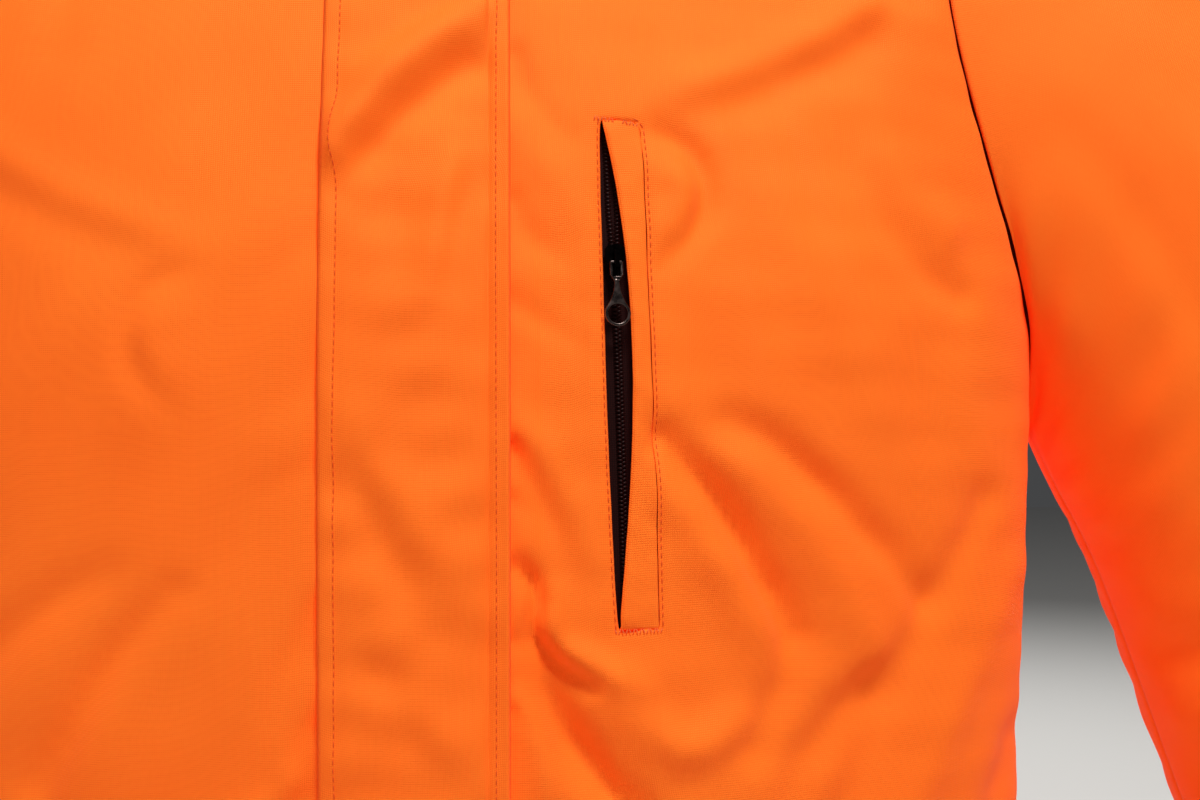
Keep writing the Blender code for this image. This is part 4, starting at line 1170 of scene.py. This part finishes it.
def woven_height(tree, pitch):
    """The weave's height: the product of the sizes of a sine across and a sine up, so a bump for
    each crossing and a dip along each thread's edge."""
    uv = node(tree, "ShaderNodeUVMap", uv_map="Weave")
    split = node(tree, "ShaderNodeSeparateXYZ", {0: uv.outputs[0]})
    waves = []
    for axis in (0, 1):
        along = {0: split.outputs[axis], 1: np.pi / pitch}
        scaled = node(tree, "ShaderNodeMath", along, operation="MULTIPLY")
        wave = node(tree, "ShaderNodeMath", {0: scaled.outputs[0]}, operation="SINE")
        waves.append(node(tree, "ShaderNodeMath", {0: wave.outputs[0]}, operation="ABSOLUTE"))
    product = {0: waves[0].outputs[0], 1: waves[1].outputs[0]}
    return node(tree, "ShaderNodeMath", product, operation="MULTIPLY").outputs[0], uv.outputs[0]


def oxford_cloth(colours, sizes):
    """Polyester oxford, woven and coated: a fine even checker of thread crossings with painted shade in
    the dips between them, slubs along the threads, a dull sheen, and a red light painted on, given off
    evenly in light and shade alike, which stands for the dye's fluorescence."""
    made, tree, shader = finish_of(
        "coated polyester oxford, fluorescent dyed",
        colours.cloth,
        0.62,
        **{
            "Sheen Weight": 0.03,
            "Sheen Roughness": 0.5,
            "Specular IOR Level": 0.15,
            # Painted light: this emission gives off the red evenly, in shade as in light, and keeps the
            # shade red.
            "Emission Color": (*colours.painted_glow, 1),
            "Emission Strength": 0.30,
        },
    )
    height, uv = woven_height(tree, sizes.thread_pitch)
    slub_scale = node(tree, "ShaderNodeMapping", {0: uv, 3: (900, 60, 1)})
    slubs = node(tree, "ShaderNodeTexNoise", {0: slub_scale.outputs[0], "Scale": 1.0, "Detail": 2.0})
    cloud = object_noise(tree, Scale=9.0, Detail=3.0, Roughness=0.55)
    base = np.array(colours.cloth)
    stops = ((0.30, base * (0.93, 0.84, 0.8)), (0.70, np.minimum(base * (1.0, 1.10, 1.15), 1)))
    tone = node(tree, "ShaderNodeValToRGB", {0: cloud})
    for stop, (at, shade) in zip(tone.color_ramp.elements, stops):
        stop.position, stop.color = at, (*shade, 1)
    # Painted shade: the weave's dips between the thread crossings are mixed towards a deeper, redder
    # colour. The slubs then darken towards the same colour as the thread's own uneven tone.
    shade_and_slub_colour = base * (0.90, 0.66, 0.5)
    crossing = node(tree, "ShaderNodeMapRange", {0: height, 1: 0.0, 2: 1.0, 3: 0.75, 4: 0.0})
    weave_dip_shade_mix = {0: crossing.outputs[0], 6: tone.outputs[0], 7: (*shade_and_slub_colour, 1)}
    thread = node(tree, "ShaderNodeMix", weave_dip_shade_mix, data_type="RGBA")
    slubbed = node(tree, "ShaderNodeMapRange", {0: slubs.outputs[0], 1: 0.35, 2: 0.7, 3: 0.16, 4: 0.0})
    darkest = {0: slubbed.outputs[0], 6: thread.outputs[2], 7: (*shade_and_slub_colour, 1)}
    full = node(tree, "ShaderNodeMix", darkest, data_type="RGBA")
    tree.links.new(full.outputs[2], shader.inputs["Base Color"])
    bumped(tree, shader, height, 0.7, 0.0002)
    return made


def coated_side(colours, sizes):
    """Polyurethane coating, knifed on the cloth's back: matt and even, with the weave's faint
    print and cloudy where it lies thicker."""
    made, tree, shader = finish_of("polyurethane coating on oxford cloth", colours.inside, 0.55)
    height, _ = woven_height(tree, sizes.thread_pitch)
    bumped(tree, shader, height, 0.3, 0.0001)
    cloud = object_noise(tree, Scale=14.0, Detail=3.0)
    shaded(tree, shader, cloud, colours.inside, (0.82, 1.12))
    return made


def sewing_thread(name, colour):
    """Spun polyester thread: matt, with the twist's fine stripes across each stitch, and a faint painted
    light of its own colour given off evenly.
    """
    made, tree, shader = finish_of(
        name,
        colour,
        0.75,
        **{
            "Specular IOR Level": 0.15,
            # Painted light: the thread gives off its own colour evenly, which keeps its red in shade.
            "Emission Color": (*colour, 1),
            "Emission Strength": 0.15,
        },
    )
    grain = object_noise(tree, Scale=2200.0, Detail=1.0)
    shaded(tree, shader, grain, colour, (0.72, 1.06))
    return made


def zip_tape(colours):
    """Woven polyester tape, black: a fine ribbed check, a little under a millimetre from rib to rib, with
    painted shade in its dips and painted highlight on its crests.
    """
    made, tree, shader = finish_of(
        "woven polyester zip tape, black", colours.zip, 0.85, **{"Specular IOR Level": 0.12}
    )
    height, _ = woven_height(tree, TAPE_RIB)
    bumped(tree, shader, height, 0.5, 0.0001)
    # Painted shade and highlight: the tape is darker in the dips between its ribs and paler on their
    # crests.
    tone = node(tree, "ShaderNodeMapRange", {0: height, 1: 0.0, 2: 1.0, 3: 0.0, 4: 1.0})
    base = np.array(colours.zip)
    shades = {0: tone.outputs[0], 6: (*(base * 0.6), 1), 7: (*(base * 1.5), 1)}
    rib_shade_and_highlight = node(tree, "ShaderNodeMix", shades, data_type="RGBA")
    tree.links.new(rib_shade_and_highlight.outputs[2], shader.inputs["Base Color"])
    return made


def nylon_coil(colours):
    """Drawn nylon, heat-set in a coil: smooth and half gloss, so that each turn has its glint."""
    made, tree, shader = finish_of(
        "drawn nylon coil, black", colours.zip, 0.4, **{"Specular IOR Level": 0.16}
    )
    roughened(tree, shader, object_noise(tree, Scale=600.0, Detail=2.0), 0.34, 0.52)
    return made


def plated_zinc(name, colour):
    """Die-cast zinc, plated: dark, tumbled smooth, faintly cloudy, worn paler at small spots."""
    made, tree, shader = finish_of(name, colour, 0.3, 1.0)
    cloud = object_noise(tree, Scale=420.0, Detail=4.0)
    roughened(tree, shader, cloud, 0.2, 0.42)
    shaded(tree, shader, cloud, colour, (0.75, 1.35))
    return made


def studio_floor(colours):
    """Matt painted board, rolled: plain, with a faint unevenness."""
    made, tree, shader = finish_of("rolled matt paint on board", colours.floor, 0.8)
    roughened(tree, shader, object_noise(tree, Scale=40.0, Detail=3.0), 0.74, 0.86, (0.0, 1.0))
    return made


# ------------------------------------------------------------------ what the operators share
MADE = {}  # finishes by name


def settings():
    scene = bpy.context.scene
    return scene.jacket_sizes, scene.jacket_colours


def finish(name):
    """A finish, made the first time that a piece asks for it."""
    if name not in MADE:
        sizes, colours = settings()
        makers = {
            "cloth": lambda: oxford_cloth(colours, sizes),
            "coating": lambda: coated_side(colours, sizes),
            "thread": lambda: sewing_thread("spun polyester thread, orange", colours.thread),
            "bartack": lambda: sewing_thread("spun polyester thread, coral", colours.bartack),
            "tape": lambda: zip_tape(colours),
            "coil": lambda: nylon_coil(colours),
            "metal": lambda: plated_zinc("die-cast zinc, gunmetal plated", colours.metal),
            "slider": lambda: plated_zinc("die-cast zinc, black plated", colours.slider),
            "floor": lambda: studio_floor(colours),
        }
        MADE[name] = makers[name]()
    return MADE[name]


def two_sided():
    return finish("cloth"), finish("coating")


def sew(name, lines, colour="thread"):
    """Rows of stitches along lines of (points, normals)."""
    sizes, _ = settings()
    parts = [stitches_along(points, out, sizes.stitch_pitch) for points, out in lines]
    centres, along, out = (np.concatenate([part[k] for part in parts]) for k in range(3))
    radius = sizes.thread_width / 2
    size = (sizes.stitch_pitch * STITCH_SHARE, radius, radius * STITCH_ARCH)
    return worn(capsules(name, centres, along, out, size, finish(colour)))


# ------------------------------------------------------------------ operators
class JACKET_OT_fronts(bpy.types.Operator):
    """Builds the two fronts, with the pocket's opening in the left one"""

    bl_idname = "jacket.fronts"
    bl_label = "Fronts"

    def execute(self, context):
        sizes, _ = settings()
        left, left_grid = make_left_front(two_sided())
        right, right_grid = make_right_front(two_sided())
        rows = [on_left_front(*resampled(*path, 0.0015)) for path in pocket_rows()]
        pocket = sew("pocket_stitching", rows)
        lines = []
        for grid, turn in ((left_grid, 1), (right_grid, -1)):
            hem, out = up_grid(grid, sizes.hem_depth)
            shoulder, up = up_grid(grid, -EDGE_ROW)
            lines += [(hem, out * -turn), (shoulder, up * -turn)]
        body = sew("front_stitching", lines)
        bartacks = self.bartacks()
        hung(left, "front_left")
        hung(right, "front_right")
        return {"FINISHED"}

    def bartacks(self):
        """A row of short upright stitches across each end of the pocket, which lean in turn."""
        rows = [np.linspace(row.start, row.end, row.count) for row in BARTACKS]
        heights = [row.z - (x - row.start) * row.fall for row, x in zip(BARTACKS, rows)]
        points, out = on_left_front(np.concatenate(rows), np.concatenate(heights), BARTACK_LIFT)
        count = len(points)
        lean = np.where(np.arange(count) % 2 == 0, BARTACK_LEAN, -BARTACK_LEAN)
        along = np.column_stack([lean, np.zeros(count), np.ones(count)])
        piece = capsules("pocket_bartacks", points, along, out, BARTACK_SIZES, finish("bartack"))
        return worn(piece)


class JACKET_OT_back(bpy.types.Operator):
    """Builds the back"""

    bl_idname = "jacket.back"
    bl_label = "Back"

    def execute(self, context):
        sizes, _ = settings()
        piece, halves = make_back(two_sided())
        lines = []
        for grid, turn in zip(halves, (-1, 1)):
            hem, out = up_grid(grid, -sizes.hem_depth)
            side, side_out = across_grid(grid, -EDGE_ROW)
            lines += [(hem, out * turn), (side, side_out * -turn)]
        stitching = sew("back_stitching", lines)
        hung(piece, "back")
        return {"FINISHED"}


class JACKET_OT_sleeves(bpy.types.Operator):
    """Builds the sleeves"""

    bl_idname = "jacket.sleeves"
    bl_label = "Sleeves"

    def execute(self, context):
        sizes, _ = settings()
        for side, name in ((1, "left"), (-1, "right")):
            piece, grid = make_sleeve(side, two_sided())
            cuff, out = up_grid(grid, -sizes.hem_depth)
            stitching = sew(f"{name}_sleeve_stitching", [(cuff, out * side)])
            hung(piece, f"sleeve_{name}")
        return {"FINISHED"}


class JACKET_OT_collar(bpy.types.Operator):
    """Builds the stand collar"""

    bl_idname = "jacket.collar"
    bl_label = "Stand collar"

    def execute(self, context):
        piece, grid = make_collar(finish("cloth"))
        lines = []
        for side in (1, -1):
            half = grid if side > 0 else mirrored(grid)
            for offset in (EDGE_ROW, -EDGE_ROW):
                line, out = up_grid(half, offset)
                lines.append((line, out * -side))
        stitching = sew("collar_stitching", lines)
        hung(piece, "collar")
        return {"FINISHED"}


class JACKET_OT_storm_flap(bpy.types.Operator):
    """Builds the storm flap over the front zip"""

    bl_idname = "jacket.storm_flap"
    bl_label = "Storm flap"

    def execute(self, context):
        piece, grid = make_flap(finish("cloth"))
        lines = [across_grid(grid, offset) for offset in FLAP_ROWS]
        stitching = sew("flap_stitching", lines)
        hung(piece, "storm_flap")
        return {"FINISHED"}


class JACKET_OT_pocket_welt(bpy.types.Operator):
    """Builds the chest pocket's welt"""

    bl_idname = "jacket.pocket_welt"
    bl_label = "Pocket welt"

    def execute(self, context):
        piece = make_welt(finish("cloth"))
        hung(piece, "pocket_welt")
        return {"FINISHED"}


class JACKET_OT_zips(bpy.types.Operator):
    """Builds the tapes and coils of both zips"""

    bl_idname = "jacket.zips"
    bl_label = "Zips"

    def execute(self, context):
        self.pocket_zip()
        self.front_zip()
        return {"FINISHED"}

    def pocket_zip(self):
        """The tape lies behind the opening, and the coil runs down it, parallel to the pocket."""
        sizes, _ = settings()
        top, foot = POCKET_TOP[1] + POCKET_TAPE_RUN, POCKET_FOOT[1] - POCKET_TAPE_RUN
        z = np.linspace(foot, top, 130)[:, None]
        x = pocket_line(z)[0] + np.linspace(*POCKET_TAPE, 15)
        here, out = front_normals(x, z + 0 * x)
        belt = tape("pocket_zip_tape", here - out * POCKET_TAPE_DEPTH, "pocket_zip", finish("tape"))
        run = np.arange(foot, top, sizes.tooth_pitch / 2)
        lean = np.where(np.arange(len(run)) % 2 == 0, 1.0, -1.0)
        open_by = np.clip((run - SLIDER_PLACE[1]) / 0.02, 0, 1) * COIL_OPEN
        line = front_normals(pocket_line(run)[0] + COIL_PLACE + lean * (COIL_HALF + open_by), run)
        side = np.cross((0.0, 0.0, 1.0), line[1])
        side /= np.linalg.norm(side, axis=-1, keepdims=True)
        grid = (line[0], line[1], side, np.cross(line[1], side))
        teeth = coil(
            "pocket_zip_coil", grid, 0.0006 - POCKET_TAPE_DEPTH, COIL_WIDTH, finish("coil"), "pocket_zip"
        )

    def front_zip(self):
        """The tape lies behind both fronts and the collar, and its coil in the gap between."""
        sizes, _ = settings()
        half = FRONT_TAPE_WIDTH / 2
        strip = centre_strip(np.linspace(-half, half, 15), 180, 16)
        grid = strip - normals(strip) * FRONT_TAPE_DEPTH
        belt = tape("front_zip_tape", grid, "front_zip", finish("tape"))
        middle, out = strip[:, 7], normals(strip)[:, 7]
        centres, along, out = stitches_along(middle, out, sizes.tooth_pitch / 2)
        side = np.tile([1.0, 0.0, 0.0], (len(centres), 1))
        centres = centres + side * np.where(np.arange(len(centres)) % 2 == 0, 1, -1)[:, None] * 0.0008
        along /= np.linalg.norm(along, axis=-1, keepdims=True)
        teeth = coil(
            "front_zip_coil",
            (centres, out, side, along),
            0.0009 - FRONT_TAPE_DEPTH,
            0.0034,
            finish("coil"),
            "front_zip",
        )


class JACKET_OT_sliders(bpy.types.Operator):
    """Finishes the two zip sliders"""

    bl_idname = "jacket.sliders"
    bl_label = "Zip sliders"

    def execute(self, context):
        for name in ("pocket_zip_slider", "front_zip_slider"):
            slider = frame["nodes"][name]
            slider.data.materials.clear()
            slider.data.materials.append(finish("slider"))
        return {"FINISHED"}


class JACKET_OT_pull(bpy.types.Operator):
    """Builds the pocket zip's pull"""

    bl_idname = "jacket.pull"
    bl_label = "Zip pull"

    def execute(self, context):
        make_pull(finish("metal"))
        return {"FINISHED"}


class JACKET_OT_stage(bpy.types.Operator):
    """Sets up the floor, the soft lights and the camera"""

    bl_idname = "jacket.stage"
    bl_label = "Studio"

    def execute(self, context):
        floor_z, half = CAD_BOX[0][2] - FLOOR_BELOW, FLOOR_HALF
        corners = np.array([(-half, -half), (half, -half), (half, half), (-half, half)])
        floor = mesh_piece(
            "studio_floor", np.column_stack([corners, [floor_z] * 4]), [[0, 1, 2, 3]], finish("floor")
        )
        for row in LAMPS:
            lamp = bpy.data.lights.new(row.name, "AREA")
            lamp.shape, lamp.size, lamp.energy, lamp.color = "DISK", row.size, row.power, row.tint
            light = bpy.data.objects.new(row.name, lamp)
            light.location = row.place
            aim = Vector(row.target) - Vector(row.place)
            light.rotation_euler = aim.to_track_quat("-Z", "Y").to_euler()
            context.scene.collection.objects.link(light)
        world = bpy.data.worlds.new("soft studio")
        world.use_nodes = True
        air = world.node_tree.nodes["Background"]
        air.inputs["Color"].default_value = AIR
        air.inputs["Strength"].default_value = AIR_STRENGTH
        context.scene.world = world
        context.scene.view_settings.view_transform = "Standard"
        self.camera(context)
        return {"FINISHED"}

    def camera(self, context):
        lens = bpy.data.cameras.new("camera")
        lens.lens, lens.sensor_width = LENS, SENSOR
        camera = bpy.data.objects.new("camera", lens)
        camera.location = CAMERA_PLACE
        camera.rotation_euler = np.radians(CAMERA_TURN)
        context.scene.collection.objects.link(camera)
        context.scene.camera = camera


class JACKET_PT_panel(bpy.types.Panel):
    """Sizes, colours and steps of the jacket"""

    bl_label = "Hi-vis work jacket"
    bl_space_type = "VIEW_3D"
    bl_region_type = "UI"
    bl_category = "Jacket"

    def draw(self, context):
        for group in (context.scene.jacket_sizes, context.scene.jacket_colours):
            for name in group.__annotations__:
                self.layout.prop(group, name)
        for step in STEPS:
            self.layout.operator(step.bl_idname)


STEPS = (
    JACKET_OT_stage,
    JACKET_OT_fronts,
    JACKET_OT_back,
    JACKET_OT_sleeves,
    JACKET_OT_collar,
    JACKET_OT_storm_flap,
    JACKET_OT_pocket_welt,
    JACKET_OT_zips,
    JACKET_OT_sliders,
    JACKET_OT_pull,
)
CLASSES = (JacketSizes, JacketColours, *STEPS, JACKET_PT_panel)


def register():
    for made in CLASSES:
        bpy.utils.register_class(made)
    bpy.types.Scene.jacket_sizes = bpy.props.PointerProperty(type=JacketSizes)
    bpy.types.Scene.jacket_colours = bpy.props.PointerProperty(type=JacketColours)


def unregister():
    del bpy.types.Scene.jacket_sizes, bpy.types.Scene.jacket_colours
    for made in reversed(CLASSES):
        bpy.utils.unregister_class(made)


def main():
    """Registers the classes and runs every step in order."""
    register()
    for step in STEPS:
        group, name = step.bl_idname.split(".")
        getattr(getattr(bpy.ops, group), name)()


if __name__ == "__main__":
    main()
